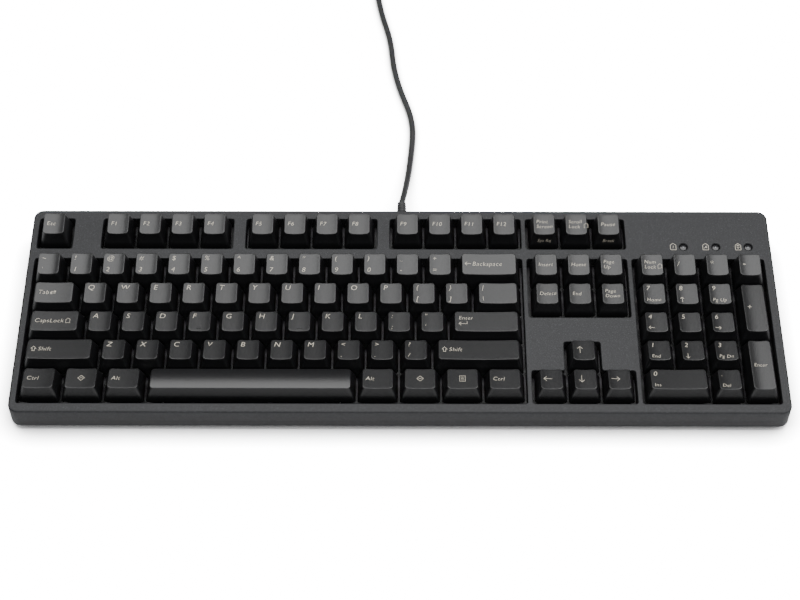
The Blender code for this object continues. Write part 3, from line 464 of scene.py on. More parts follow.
grip_rubber, tree, shader = new_surface("plug_grip_rubber", (0.022, 0.022, 0.023), 0.45)
dents(tree, shader, speckle(tree, 3200.0, 3.0), 0.00002)
grip_middle = PLUG_ENTRY[1]
along = np.array([0, 0, 0.35, 1.0, 2.0, 6, 9, 9.5, 10.3, 10.8, 11.6, 12.1, 12.9, 13.4, 14.2, 14.7, 15.5,
                  16.0, 16.8, 17.3, 24, 27.0, 27.7, 28.0, 28.0])
wide = np.array([2.0, 5.2, 5.9, 6.4, 6.8, 7.4, 7.8, 7.8, 7.45, 7.45, 7.8, 7.8, 7.45, 7.45, 7.8, 7.8, 7.45,
                 7.45, 7.8, 7.8, 8.0, 7.9, 7.6, 7.0, 6.05])
thick = np.array([1.9, 2.7, 3.2, 3.5, 3.7, 3.9, 4.0, 4.0, 3.75, 3.75, 4.0, 4.0, 3.75, 3.75, 4.0, 4.0, 3.75,
                  3.75, 4.0, 4.0, 4.1, 4.0, 3.8, 3.4, 2.35])
ring_x, ring_y = rounded_rings(wide * MM, thick * MM, np.minimum(thick * 0.55, 2.2) * MM, 4, 2, 5)
grip_points = np.stack(
    (PLUG_ENTRY[0] + np.broadcast_to(along[:, None] * MM, ring_x.shape),
     grip_middle - ring_x * -1, PLUG_ENTRY[2] + ring_y), -1
)
grip = piece_from(
    "plug_grip",
    [(grip_points, loop_grid(*ring_x.shape), 0, True),
     (grip_points[0], [np.arange(ring_x.shape[1])[::-1]], 0, False),
     (grip_points[-1], [np.arange(ring_x.shape[1])], 0, False)],
    [grip_rubber],
)
ride_in_place(grip, "case", ("usb_plug",))

plug_steel, tree, shader = new_surface("plug_shell_steel", (0.62, 0.62, 0.63), 0.28, 1.0)
tree.links.new(
    spread(tree, speckle(tree, 60.0, 4.0, (1.0, 14.0, 14.0)), 0.3, 0.7, 0.22, 0.38),
    shader.inputs["Roughness"],
)
shell_start = PLUG_ENTRY[0] + 26.0 * MM
shell_end = PLUG_ENTRY[0] + 40.0 * MM
shell_along = np.array([shell_start, shell_start + 2.1 * MM, shell_end - 0.3 * MM, shell_end,
                        shell_end, shell_end - 0.3 * MM, shell_start + 2.0 * MM])
shell_wide = np.array([6.0, 6.0, 6.0, 5.9, 5.72, 5.70, 5.70]) * MM
shell_thick = np.array([2.25, 2.25, 2.25, 2.17, 1.97, 1.95, 1.95]) * MM
ring_x, ring_y = rounded_rings(shell_wide, shell_thick, np.full(7, 0.5 * MM), 8, 3, 4)
shell_points = np.stack(
    (np.broadcast_to(shell_along[:, None], ring_x.shape), grip_middle + ring_x,
     PLUG_ENTRY[2] + ring_y), -1
)
shell = piece_from(
    "plug_shell",
    [(shell_points, loop_grid(*ring_x.shape), 0, True),
     (shell_points[0], [np.arange(ring_x.shape[1])[::-1]], 0, False),
     (shell_points[-1], [np.arange(ring_x.shape[1])], 0, False)],
    [plug_steel],
)
ride_in_place(shell, "case", ())


def slab(low, high, round_off):
    """A block between two corners whose four long edges are rounded: two rounded-rectangle rings along
    x, drawn in at both ends, with flat ends."""
    low, high = np.asarray(low, float), np.asarray(high, float)
    middle, half = (low + high) / 2, (high - low) / 2
    place = np.array([low[0], low[0] + round_off, high[0] - round_off, high[0]])
    shrink = np.array([round_off, 0, 0, round_off]) * 0.6
    x, y = rounded_rings(half[1] - shrink, half[2] - shrink, np.full(4, round_off), 2, 2, 3)
    points = np.stack((np.broadcast_to(place[:, None], x.shape), middle[1] + x, middle[2] + y), -1)
    ends = np.arange(x.shape[1])
    return [(points, loop_grid(*x.shape), 0, True), (points[0], [ends[::-1]], 0, False),
            (points[-1], [ends], 0, False)]


tongue_plastic, tree, shader = new_surface("plug_tongue_plastic", (0.05, 0.05, 0.055), 0.4)
dents(tree, shader, speckle(tree, 2500.0), 0.00001)
tongue = piece_from(
    "plug_tongue",
    slab((shell_start + 2.0 * MM, grip_middle - 5.6 * MM, PLUG_ENTRY[2] - 1.9 * MM),
         (shell_end - 0.9 * MM, grip_middle + 5.6 * MM, PLUG_ENTRY[2] - 0.1 * MM), 0.15 * MM),
    [tongue_plastic],
)
ride_in_place(tongue, "case", ())

contact_gilt, tree, shader = new_surface("contact_gilt", (0.83, 0.60, 0.26), 0.22, 1.0)
dents(tree, shader, speckle(tree, 1500.0), 0.000005)
contact_patches = []
for offset in (-3.5, -1.0, 1.0, 3.5):
    contact_patches += slab(
        (shell_start + 4.0 * MM, grip_middle + (offset - 0.5) * MM, PLUG_ENTRY[2] - 0.2 * MM),
        (shell_end - 1.6 * MM, grip_middle + (offset + 0.5) * MM, PLUG_ENTRY[2] + 0.05 * MM), 0.06 * MM)
contacts = piece_from("plug_contacts", contact_patches, [contact_gilt], weld=None)
ride_in_place(contacts, "case", ())


# ---------------------------------------------------------------------------------------------
# Bottom cover: the black moulded pan that closes the case, with its foot recesses, pad pockets
# and screw seats. It has a fine spark-eroded texture.
# ---------------------------------------------------------------------------------------------
pan_plastic, tree, shader = new_surface("pan_plastic", (0.018, 0.018, 0.019), 0.5)
dents(tree, shader, speckle(tree, 1800.0, 3.0), 0.00004)
tree.links.new(
    ramp(tree, speckle(tree, 700.0), [(0.3, (0.015, 0.015, 0.016)), (0.7, (0.023, 0.023, 0.024))]),
    shader.inputs["Base Color"],
)


def refinish(node, material):
    """Gives a CAD node that keeps its shape one procedural material."""
    mesh = frame["nodes"][node].data
    mesh.materials.clear()
    mesh.materials.append(material)


refinish("bottom_cover", pan_plastic)

# Screws: two black zinc-plated screws, driven from below into the top cover's bosses.
screw_steel, tree, shader = new_surface("blackened_screw_steel", (0.10, 0.10, 0.105), 0.35, 1.0)
tree.links.new(
    spread(tree, speckle(tree, 1800.0), 0.3, 0.7, 0.28, 0.45), shader.inputs["Roughness"]
)
refinish("case_screw_left", screw_steel)
refinish("case_screw_right", screw_steel)


# ---------------------------------------------------------------------------------------------
# Pads: four soft black rubber blocks glued in pockets of the bottom cover, with rounded edges
# and a shallow tread on the face that grips the table.
# ---------------------------------------------------------------------------------------------
pad_rubber, tree, shader = new_surface("pad_rubber", (0.026, 0.026, 0.026), 0.8)
dents(tree, shader, speckle(tree, 2400.0, 4.0), 0.00005)


def cushion_block(low, high, corner, edge, along_x, along_y, tread=0.0):
    """A closed block between two corners: rings of a rounded rectangle that draw in by a quarter circle
    at the top and the bottom edges, with grids over both faces. Tread lifts waves into the lower face."""
    low, high = np.asarray(low, float), np.asarray(high, float)
    middle, half = (low + high) / 2, (high - low) / 2
    turn = np.linspace(0, np.pi / 2, 4)
    inset = np.concatenate((edge * (1 - np.sin(turn)), edge * (1 - np.cos(turn))))
    height = np.concatenate((low[2] + edge * (1 - np.cos(turn)), high[2] - edge * (1 - np.sin(turn))))
    x, y = rounded_rings(half[0] - inset, half[1] - inset, corner - inset, along_x, along_y, 4)
    z = np.broadcast_to(height[:, None], x.shape)
    sides = np.stack((middle[0] + x, middle[1] + y, z), -1)
    x, y = rounded_sheet(half[0] - edge, half[1] - edge, corner - edge, along_x, along_y, 4)
    rim = (1 - (x / (half[0] - edge)) ** 2) * (1 - (y / (half[1] - edge)) ** 2) > 0.05
    waves = tread * rim * (0.5 + 0.5 * np.cos(x / half[0] * np.pi * along_x / 2))
    under = np.stack((middle[0] + x, middle[1] + y, low[2] + waves), -1)
    over = np.stack((middle[0] + x, middle[1] + y, np.full(x.shape, high[2])), -1)
    faces = sheet_grid(*x.shape)
    return [(sides, loop_grid(*sides.shape[:2]), 0, True), (under, faces[:, ::-1], 0, True),
            (over, faces, 0, True)]


for place in ("front_left_pad", "front_right_pad", "rear_left_pad", "rear_right_pad"):
    low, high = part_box(place)
    pad = piece_from(
        place.replace("_pad", "_rubber"), cushion_block(low, high, 1.6 * MM, 0.3 * MM, 20, 4, 0.12 * MM),
        [pad_rubber],
    )
    ride_in_place(pad, "case", (place,))


# ---------------------------------------------------------------------------------------------
# Feet: two moulded arms that fold down at the rear. Each has a round hinge barrel with a pin at
# both ends, a hollowed back with three ribs, and a soft toe.
# ---------------------------------------------------------------------------------------------
foot_plastic, tree, shader = new_surface("foot_plastic", (0.019, 0.019, 0.020), 0.42)
dents(tree, shader, speckle(tree, 2000.0, 3.0), 0.00002)


def foot_outline(low, high, thick):
    """Side view of one foot as y and z, counter-clockwise seen from its right end: half a circle round
    the hinge, a straight upper face, a rounded toe, and a lower face that is hollowed between them."""
    radius = thick / 2
    axis_y, axis_z = high.y - radius, (low.z + high.z) / 2
    turn = np.linspace(-np.pi / 2, np.pi / 2, 11)
    hinge = np.stack((axis_y + radius * np.cos(turn), axis_z + radius * np.sin(turn)), 1)
    toe_y = low.y + 1.2 * MM
    turn = np.linspace(np.pi / 2, 1.5 * np.pi, 9)
    toe = np.stack((toe_y + 1.2 * MM * np.cos(turn), axis_z + radius * np.sin(turn)), 1)
    hollow = np.array([(low.y + 2.6 * MM, axis_z - radius), (low.y + 3.1 * MM, axis_z - radius + 1.3 * MM),
                       (axis_y - 2.6 * MM, axis_z - radius + 1.3 * MM), (axis_y - 2.1 * MM, axis_z - radius)])
    return np.vstack((hinge, toe, hollow)), hollow


for side, sign in (("left", -1), ("right", 1)):
    low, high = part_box(f"foot_{side}")
    thick = high.z - low.z
    outline, hollow = foot_outline(low, high, thick)
    pin_reach = 1.6 * MM
    left, right = low.x + pin_reach, high.x - pin_reach
    wall = 1.6 * MM
    filled = outline.copy()
    filled[-4:, 1] = low.z
    places = [left, left + 0.25 * MM, left + wall, left + wall + 0.2 * MM]
    ribs = np.linspace(left + wall, right - wall, 5)[1:-1]
    for rib in ribs:
        places += [rib - 0.8 * MM, rib - 0.6 * MM, rib + 0.6 * MM, rib + 0.8 * MM]
    places += [right - wall - 0.2 * MM, right - wall, right - 0.25 * MM, right]
    full = [True, True, True, False] + [False, True, True, False] * 3 + [False, True, True, True]
    middle = outline.mean(0)
    rings = []
    for number, (x, is_full) in enumerate(zip(places, full)):
        ring = (filled if is_full else outline) - middle
        shrink = 0.94 if number in (0, len(places) - 1) else 1.0
        rings.append(np.column_stack((np.full(len(ring), x), ring * (shrink, shrink) + middle)))
    rings = np.array(rings)
    ends = np.arange(len(outline))
    axis_y, axis_z = high.y - thick / 2, (low.z + high.z) / 2
    patches = [(rings, loop_grid(*rings.shape[:2]), 0, False),
               (rings[0], [ends[::-1]], 0, False), (rings[-1], [ends], 0, False)]
    pin = turned_rings(np.array([(1.3, 0), (1.3, 1.75), (1.1, 1.95)]) * MM, 20)
    for end, direction in ((left + 0.35 * MM, -1), (right - 0.35 * MM, 1)):
        pin_points = np.stack(
            (end + direction * pin[..., 2], axis_y + direction * pin[..., 0], axis_z + pin[..., 1]), -1)
        patches += [(pin_points, loop_grid(*pin.shape[:2]), 0, True),
                    (pin_points[-1], [np.arange(20)], 0, False),
                    (pin_points[0], [np.arange(20)[::-1]], 0, False)]
    foot = piece_from(f"{side}_foot_arm", patches, [foot_plastic], weld=None)
    ride_in_place(foot, f"{side}_foot", (f"foot_{side}",))


# ---------------------------------------------------------------------------------------------
# Circuit board: dark green laminate with the 104 switch housings soldered on it.
# Plate: zinc-plated steel, cut for the switches. Both show only between the keys.
# ---------------------------------------------------------------------------------------------
board_laminate, tree, shader = new_surface("board_and_switch_plastic", (0.02, 0.03, 0.025), 0.5)
dents(tree, shader, speckle(tree, 1500.0), 0.00003)
tree.links.new(
    ramp(tree, speckle(tree, 500.0), [(0.35, (0.014, 0.018, 0.016)), (0.7, (0.026, 0.032, 0.029))]),
    shader.inputs["Base Color"],
)
refinish("circuit_board", board_laminate)

plate_steel, tree, shader = new_surface("plated_steel", (0.035, 0.035, 0.036), 0.48, 0.4)
tree.links.new(
    spread(tree, speckle(tree, 120.0, 4.0, (1.0, 12.0, 12.0)), 0.3, 0.7, 0.34, 0.52),
    shader.inputs["Roughness"],
)
refinish("switch_plate", plate_steel)

# Stabilizer wire: bright spring wire under the space bar, bent at both ends.
spring_wire, tree, shader = new_surface("bright_spring_wire", (0.55, 0.55, 0.56), 0.3, 1.0)
tree.links.new(spread(tree, speckle(tree, 900.0), 0.3, 0.7, 0.24, 0.36), shader.inputs["Roughness"])
refinish("space_stabilizer_wire", spring_wire)


# ---------------------------------------------------------------------------------------------
# Keycaps: 104 moulded caps of charcoal plastic, thin-walled and open below, with a post for the
# switch. The tops are dished from side to side and the space bar is crowned from front to rear.
# The legends are pad-printed in a warm grey, in slanted plain letters.
# ---------------------------------------------------------------------------------------------
cap_plastic, tree, shader = new_surface("cap_plastic", (0.006, 0.0061, 0.0066), 0.31)
dents(tree, shader, speckle(tree, 2600.0, 3.0), 0.000035)
tree.links.new(
    ramp(tree, speckle(tree, 1300.0, 3.0), [(0.35, (0.005, 0.0051, 0.0055)), (0.7, (0.008, 0.0082, 0.0087))]),
    shader.inputs["Base Color"],
)
legend_print, tree, shader = new_surface("warm_grey_print", (0.52, 0.48, 0.40), 0.55)
tree.links.new(
    ramp(tree, speckle(tree, 2000.0), [(0.3, (0.48, 0.44, 0.36)), (0.7, (0.57, 0.53, 0.44))]),
    shader.inputs["Base Color"],
)

press_axis = next(j["axis"] for j in frame["joints"] if j["name"] == "key_space_press")
DECK_NORMAL = -np.array(press_axis) / np.linalg.norm(press_axis)
DECK_AXES = np.array([(1.0, 0.0, 0.0), (0.0, DECK_NORMAL[2], -DECK_NORMAL[1]), DECK_NORMAL])
HALF_GAP = 0.5 * MM


def deck_points(node):
    """A CAD node's points along the deck's own axes: across, up the slope, and off the plate."""
    mesh = frame["nodes"][node].data
    points = np.empty(len(mesh.vertices) * 3)
    mesh.vertices.foreach_get("co", points)
    return points.reshape(-1, 3) @ DECK_AXES.T


def cap_frame(node):
    """Skirt rectangle and top plane of a row of caps: (left, front, right, rear, skirt height), then
    the top's taper, the shift of its middle, its height above the skirt and its rise per metre."""
    points = deck_points(node)
    left, front = points[:, 0].min(), points[:, 1].min()
    right, rear = points[:, 0].max(), points[:, 1].max()
    skirt = points[points[:, 0] < left + 1e-5][:, 2].min()
    upper = points[points[:, 2] > skirt + 6.0 * MM]
    side = upper[upper[:, 0] < upper[:, 0].min() + 1e-5]
    near, far = side[side[:, 1].argmin()], side[side[:, 1].argmax()]
    rise = (far[2] - near[2]) / (far[1] - near[1])
    shift = (near[1] + far[1]) / 2 - (front + rear) / 2
    height = (near[2] + far[2]) / 2 - skirt
    return (left, front, right, rear, skirt), (near[0] - left, near[1] - front - shift, shift, height, rise)


class Top:
    """The upper face of one cap: a sloping plane, less a dish that is a parabola from side to side, or
    plus a crown that is a parabola from front to rear."""

    def __init__(self, half_x, half_y, shift, height, rise, dish, crown):
        self.half_x, self.half_y, self.shift = half_x, half_y, shift
        self.height, self.rise, self.dish, self.crown = height, rise, dish, crown

    def at(self, x, y):
        """Height over a point of the cap."""
        depth = y - self.shift
        across = np.clip(x / self.half_x, -1, 1) ** 2
        lengthwise = np.clip(depth / self.half_y, -1, 1) ** 2
        return self.height + self.rise * depth - self.dish * (1 - across) - self.crown * lengthwise


EDGE_ROUND = 0.40 * MM
WALL = 1.3 * MM


def cap_shell(wide, deep, taper_x, taper_y, shift, top):
    """One hollow cap round its own middle. Its outside is rings of a rounded rectangle that shrink and
    move back as they rise in proportion to the top's height over them, a quarter circle over the edge,
    and a grid over the dish. Its inside is the same, a wall's thickness in."""
    along_x = max(8, int(round(wide / (1.5 * MM))))
    along_y = max(5, int(round(deep / (2.6 * MM))))
    arc = 5
    top_x, top_y = wide / 2 - taper_x, deep / 2 - taper_y
    rise = np.array([0.0, 0.02, 0.5, 1 - EDGE_ROUND / top.height])
    turn = np.linspace(0, np.pi / 2, 6)[1:]
    level = np.concatenate((rise, np.full(5, rise[-1])))
    inset = np.concatenate(([0.15 * MM, 0, 0, 0], EDGE_ROUND * (1 - np.cos(turn))))
    drop = np.concatenate((np.zeros(4), EDGE_ROUND * (1 - np.sin(turn))))
    half_x = wide / 2 - taper_x * level - inset
    half_y = deep / 2 - taper_y * level - inset
    radius = 1.0 * MM + 0.9 * MM * level - inset * 0.9
    x, y = rounded_rings(half_x, half_y, radius, along_x, along_y, arc)
    y = y + shift * level[:, None]
    edge_x = x * (top_x / (wide / 2 - taper_x * level - inset))[:, None]
    edge_y = (y - shift * level[:, None]) * (top_y / (deep / 2 - taper_y * level - inset))[:, None] + shift
    over = top.at(edge_x, edge_y)
    z = np.where(np.arange(9)[:, None] < 4, over * level[:, None], top.at(x, y) - drop[:, None])
    outside = np.stack((x, y, z), -1)
    columns = x.shape[1]
    x, y = rounded_sheet(half_x[-1], half_y[-1], radius[-1], along_x, along_y, arc)
    y = y + shift * level[-1]
    crown = np.stack((x, y, top.at(x, y)), -1)
    ceiling = top.height - 1.9 * MM - abs(top.rise) * top_y
    inner = np.array([0.0, ceiling / top.height])
    half_x = wide / 2 - taper_x * inner - WALL
    half_y = deep / 2 - taper_y * inner - WALL
    x, y = rounded_rings(half_x, half_y, np.full(2, 0.6 * MM), along_x, along_y, arc)
    y = y + shift * inner[:, None]
    z = np.broadcast_to((inner * top.height)[:, None], x.shape)
    inside = np.stack((x, y, z), -1)[::-1]
    x, y = rounded_sheet(half_x[1], half_y[1], 0.6 * MM, along_x, along_y, arc)
    roof = np.stack((x, y + shift * inner[1], np.full(x.shape, ceiling)), -1)
    skirt = np.stack((inside[-1], outside[0]))
    grid = sheet_grid(*x.shape)
    return [
        (outside, loop_grid(9, columns), 0, True), (crown, grid, 0, True),
        (inside, loop_grid(2, columns), 0, True), (roof, grid[:, ::-1], 0, False),
        (skirt, loop_grid(2, columns), 0, False),
    ]


def post(ceiling, depth):
    """The round post that holds the switch's stem: rings about the cap's middle, closed at both ends."""
    rings = turned_rings([(2.5 * MM, -depth), (2.7 * MM, -depth + 0.2 * MM), (2.7 * MM, ceiling)], 16)
    return [(rings, loop_grid(3, 16), 0, True), (rings[0], [np.arange(16)[::-1]], 0, False),
            (rings[-1], [np.arange(16)], 0, False)]


PRINT_LIFT = 0.035 * MM
SLANT = 0.17


def thinned(points, faces, depth):
    """Flat shapes with their outline moved in by a depth: each corner goes along (n1 + n2) / (1 + n1.n2),
    where n1 and n2 look in from the two sides that meet there, and no more than 1.5 depths."""
    sides = [side for face in faces for side in zip(face, face[1:] + face[:1])]
    within = set(sides)
    normals = {}
    for start, end in sides:
        if (end, start) in within:
            continue
        along = points[end] - points[start]
        inward = np.array((-along[1], along[0])) / max(np.linalg.norm(along), 1e-9)
        for corner in (start, end):
            normals.setdefault(corner, []).append(inward)
    moved = points.copy()
    for corner, looks in normals.items():
        if len(looks) == 2:
            shift = (looks[0] + looks[1]) / max(1 + looks[0] @ looks[1], 0.3)
            moved[corner] += depth * shift * min(1.0, 1.5 / max(np.linalg.norm(shift), 1e-9))
    return moved


def lettering(text, height):
    """Flat slanted letters with capitals of that height: their points, with the left end of the base
    line at the origin, and their faces."""
    curve = bpy.data.curves.new("lettering", "FONT")
    curve.body = text
    curve.size = height / 0.69
    curve.shear = SLANT
    curve.space_character = 1.08
    curve.resolution_u = 3
    writing = bpy.data.objects.new("lettering", curve)
    mesh = bpy.data.meshes.new_from_object(writing)
    points = np.empty(len(mesh.vertices) * 3)
    mesh.vertices.foreach_get("co", points)
    faces = [tuple(face.vertices) for face in mesh.polygons]
    bpy.data.objects.remove(writing)
    bpy.data.curves.remove(curve)
    bpy.data.meshes.remove(mesh)
    return thinned(points.reshape(-1, 3)[:, :2], faces, 0.022 * height), faces


def strokes(paths, thick):
    """Flat ribbons of one thickness along straight lines; each line is its own four-sided face."""
    points, faces = [], []
    for path in paths:
        path = np.asarray(path, float)
        for start, end in zip(path, path[1:]):
            along = (end - start) / np.linalg.norm(end - start)
            side = np.array((-along[1], along[0])) * thick / 2
            cap = along * thick / 2
            faces.append(tuple(range(len(points), len(points) + 4)))
            points += [start - cap - side, end + cap - side, end + cap + side, start - cap + side]
    return np.array(points), faces


def pointer(direction, size, thick):
    """A thin arrow of that size: a line and an open head, turned to its direction."""
    head = 0.32 * size
    lines = [[(-size / 2, 0), (size / 2, 0)], [(size / 2 - head, head), (size / 2, 0), (size / 2 - head, -head)]]
    turn = {"right": 0, "up": 90, "left": 180, "down": 270}[direction]
    c, s = math.cos(math.radians(turn)), math.sin(math.radians(turn))
    points, faces = strokes(lines, thick)
    return points @ np.array(((c, s), (-s, c))), faces


def house(size, thick):
    """An outline of an upright tag with a pointed top."""
    w, h = size * 0.36, size * 0.5
    return strokes([[(-w, -h), (w, -h), (w, h * 0.45), (0, h), (-w, h * 0.45), (-w, -h)]], thick)


def icon(name, size):
    """A small line drawing by name, round its own middle."""
    thin = 0.22 * MM
    if name in ("left", "right", "up", "down"):
        return pointer(name, size, thin)
    if name == "shift":
        w, h = size * 0.42, size * 0.5
        line = [(0, h), (w, 0), (w * 0.45, 0), (w * 0.45, -h), (-w * 0.45, -h), (-w * 0.45, 0), (-w, 0), (0, h)]
        return strokes([line], thin)
    if name == "tab":
        w, h = size * 0.5, size * 0.22
        lines = [[(-w, h), (w, h)], [(w - h, 2 * h), (w, h), (w - h, 0)], [(w * 1.15, 2 * h), (w * 1.15, 0)],
                 [(w, -h), (-w, -h)], [(-w + h, 0), (-w, -h), (-w + h, -2 * h)], [(-w * 1.15, 0), (-w * 1.15, -2 * h)]]
        return strokes(lines, thin)
    if name == "enter":
        w, h = size * 0.5, size * 0.25
        return strokes([[(w, h * 1.3), (w, 0), (-w, 0)], [(-w + h, h), (-w, 0), (-w + h, -h)]], thin)
    if name == "menu":
        w, h = size * 0.36, size * 0.45
        lines = [[(-w, -h), (w, -h), (w, h), (-w, h), (-w, -h)]]
        lines += [[(-w * 0.55, h * k), (w * 0.55, h * k)] for k in (0.5, 0.0, -0.5)]
        return strokes(lines, thin * 0.8)
    if name == "system":
        w = size * 0.42
        lines = [[(-w, 0), (0, w), (w, 0), (0, -w), (-w, 0)], [(-w * 0.4, 0), (w * 0.4, 0)]]
        return strokes(lines, thin)
    return house(size, thin * 0.85)


def laid_out(legend, half_x, half_y):
    """Flat printing of one legend on a top of those half sizes: its points round the top's middle and its
    faces. Letters stand at the rear left; pairs stand one over the other; words stand at mid height."""
    left, rear, front = -half_x + 1.5 * MM, half_y - 1.7 * MM, -half_y
    kind, words = legend[0], legend[1:]
    shapes = []

    def put(shape, x, y):
        points, faces = shape
        start = sum(len(made[0]) for made in shapes)
        shapes.append((points + (x, y), [tuple(i + start for i in face) for face in faces]))

    def put_word(word, height, x, y):
        letters_made = lettering(word, height)
        put(letters_made, x, y)
        return x + letters_made[0][:, 0].max()

    if kind in ("letter", "homing"):
        put_word(words[0], 3.3 * MM, left, rear - 3.3 * MM)
    elif kind == "pair":
        put_word(words[0], 3.0 * MM, left, rear - 3.0 * MM)
        put_word(words[1], 3.0 * MM, left, front + 1.6 * MM)
    elif kind == "word":
        put_word(words[0], (words[1] if len(words) > 1 else 2.6) * MM, left + 0.1 * MM, -1.2 * MM)
    elif kind == "two":
        end = put_word(words[0], 2.25 * MM, left, 0.7 * MM)
        put_word(words[1], 2.25 * MM, left, -2.7 * MM)
        if len(words) > 2:
            put(icon(words[2], 3.0 * MM), end + 2.2 * MM, -1.2 * MM)
    elif kind == "after":
        end = put_word(words[0], 2.7 * MM, left + 0.2 * MM, -1.2 * MM)
        put(icon(words[1], (2.5 if words[1] == "tab" else 3.3) * MM), end + 2.4 * MM, 0.1 * MM)
    elif kind == "before":
        put(icon(words[1], 3.4 * MM), left + 1.9 * MM, 0.1 * MM)
        put_word(words[0], 2.7 * MM, left + 4.3 * MM, -1.2 * MM)
    elif kind == "above":
        put_word(words[0], 2.4 * MM, left + 0.6 * MM, 1.2 * MM)
        put(icon(words[1], 4.6 * MM), left + 3.2 * MM, -1.8 * MM)
    elif kind == "arrow":
        put(icon(words[0], 4.6 * MM), left + 2.6 * MM, 0.3 * MM)
    elif kind == "centred":
        put(icon(words[0], 4.4 * MM), 0.0, 0.2 * MM)
    elif kind == "pad":
        put_word(words[0], 3.1 * MM, left, rear - 3.1 * MM)
        if words[1] in ("left", "right", "up", "down"):
            put(icon(words[1], 3.2 * MM), left + 1.6 * MM, front + 2.9 * MM)
        elif words[1]:
            put_word(words[1], 2.2 * MM, left, front + 1.7 * MM)
    if not shapes:
        return np.empty((0, 2)), []
    return np.vstack([made[0] for made in shapes]), [face for made in shapes for face in made[1]]


def letters(row):
    """One plain letter legend for each letter of a row."""
    return [("homing" if letter in "FJ" else "letter", letter) for letter in row]


def pairs(row):
    """One pair legend for each two marks of a row, the upper mark first."""
    return [("pair", row[i], row[i + 1]) for i in range(0, len(row), 2)]


def words(*row):
    """One word legend for each word."""
    return [("word", word) for word in row]


LEGENDS = {
    "key_escape": words("Esc"),
    "keys_f1_to_f4": words("F1", "F2", "F3", "F4"),
    "keys_f5_to_f8": words("F5", "F6", "F7", "F8"),
    "keys_f9_to_f12": words("F9", "F10", "F11", "F12"),
    "keys_print_to_pause": [
        ("two", "Print", "Screen"), ("two", "Scroll", "Lock", "house"), ("word", "Pause", 2.4)],
    "keys_grave_to_5": pairs("~`!1@2#3$4%5"),
    "keys_6_to_equals": pairs("^6&7*8(9)0_-+="),
    "key_backspace": [("before", "Backspace", "left")],
    "keys_insert_to_page_up": [("word", "Insert", 2.3), ("word", "Home", 2.3), ("two", "Page", "Up")],
    "keys_num_lock_to_minus": [
        ("two", "Num", "Lock", "house"), ("word", "/", 3.2), ("word", "*", 3.8), ("word", "-", 4.6)],
    "key_tab": [("after", "Tab", "tab")],
    "keys_q_to_t": letters("QWERT"),
    "keys_y_to_bracket": letters("YUIOP") + pairs("{[}]"),
    "key_backslash": pairs("|\\"),
    "keys_delete_to_page_down": [("word", "Delete", 2.3), ("word", "End", 2.3), ("two", "Page", "Down")],
    "keys_num_7_to_9": [("pad", "7", "Home"), ("pad", "8", "up"), ("pad", "9", "Pg Up")],
    "key_num_plus": [("word", "+", 3.6)],
    "key_caps_lock": [("after", "CapsLock", "house")],
    "keys_a_to_g": letters("ASDFG"),
    "keys_h_to_quote": letters("HJKL") + pairs(":;\"'"),
    "key_enter": [("above", "Enter", "enter")],
    "keys_num_4_to_6": [("pad", "4", "left"), ("pad", "5", ""), ("pad", "6", "right")],
    "key_left_shift": [("before", "Shift", "shift")],
    "keys_z_to_b": letters("ZXCVB"),
    "keys_n_to_slash": letters("NM") + pairs("<,>.?/"),
    "key_right_shift": [("before", "Shift", "shift")],
    "key_arrow_up": [("arrow", "up")],
    "keys_num_1_to_3": [("pad", "1", "End"), ("pad", "2", "down"), ("pad", "3", "Pg Dn")],
    "key_num_enter": [("word", "Enter", 2.2)],
    "key_left_control": words("Ctrl"),
    "key_left_system": [("centred", "system")],
    "key_left_alt": words("Alt"),
    "key_space": [("none",)],
    "key_right_alt": words("Alt"),
    "key_right_system": [("centred", "system")],
    "key_menu": [("centred", "menu")],
    "key_right_control": words("Ctrl"),
    "key_arrow_left": [("arrow", "left")],
    "key_arrow_down": [("arrow", "down")],
    "key_arrow_right": [("arrow", "right")],
    "key_num_0": [("pad", "0", "Ins")],
    "key_num_decimal": [("pad", ".", "Del")],
}


def homing_bar(top):
    """A small raised bar near the front of a cap: half an ellipse across, carried along x, on the dish."""
    x = np.linspace(-1.7, 1.7, 9)[:, None] * MM
    turn = np.linspace(0, np.pi, 7)[None, :]
    fade = np.sqrt(np.clip(1 - (x / (1.72 * MM)) ** 6, 0, 1))
    y = top.shift - top.half_y + 2.0 * MM + 0.28 * MM * np.cos(turn) * fade
    lift = 0.32 * MM * np.sin(turn) * fade
    points = np.stack((x + 0 * y, y, top.at(x + 0 * y, y) + lift - 0.02 * MM), -1)
    return (points, sheet_grid(*points.shape[:2]), 0, True)


FRONT_PRINTS = {("keys_print_to_pause", 0): "Sys Rq", ("keys_print_to_pause", 2): "Break"}


def front_lettering(text, deep, taper_y, top):
    """Small letters on a cap's sloping front: across stays x, and up the letters is a share of the way
    from the skirt's front edge to the top's, a hair's breadth out from the face."""
    points, faces = lettering(text, 1.9 * MM)
    share = (points[:, 1] + 5.2 * MM) / top.height
    y = -deep / 2 + (taper_y + top.shift) * share - PRINT_LIFT * 2
    return np.stack((points[:, 0] - points[:, 0].max() / 2, y, share * top.height), -1), faces


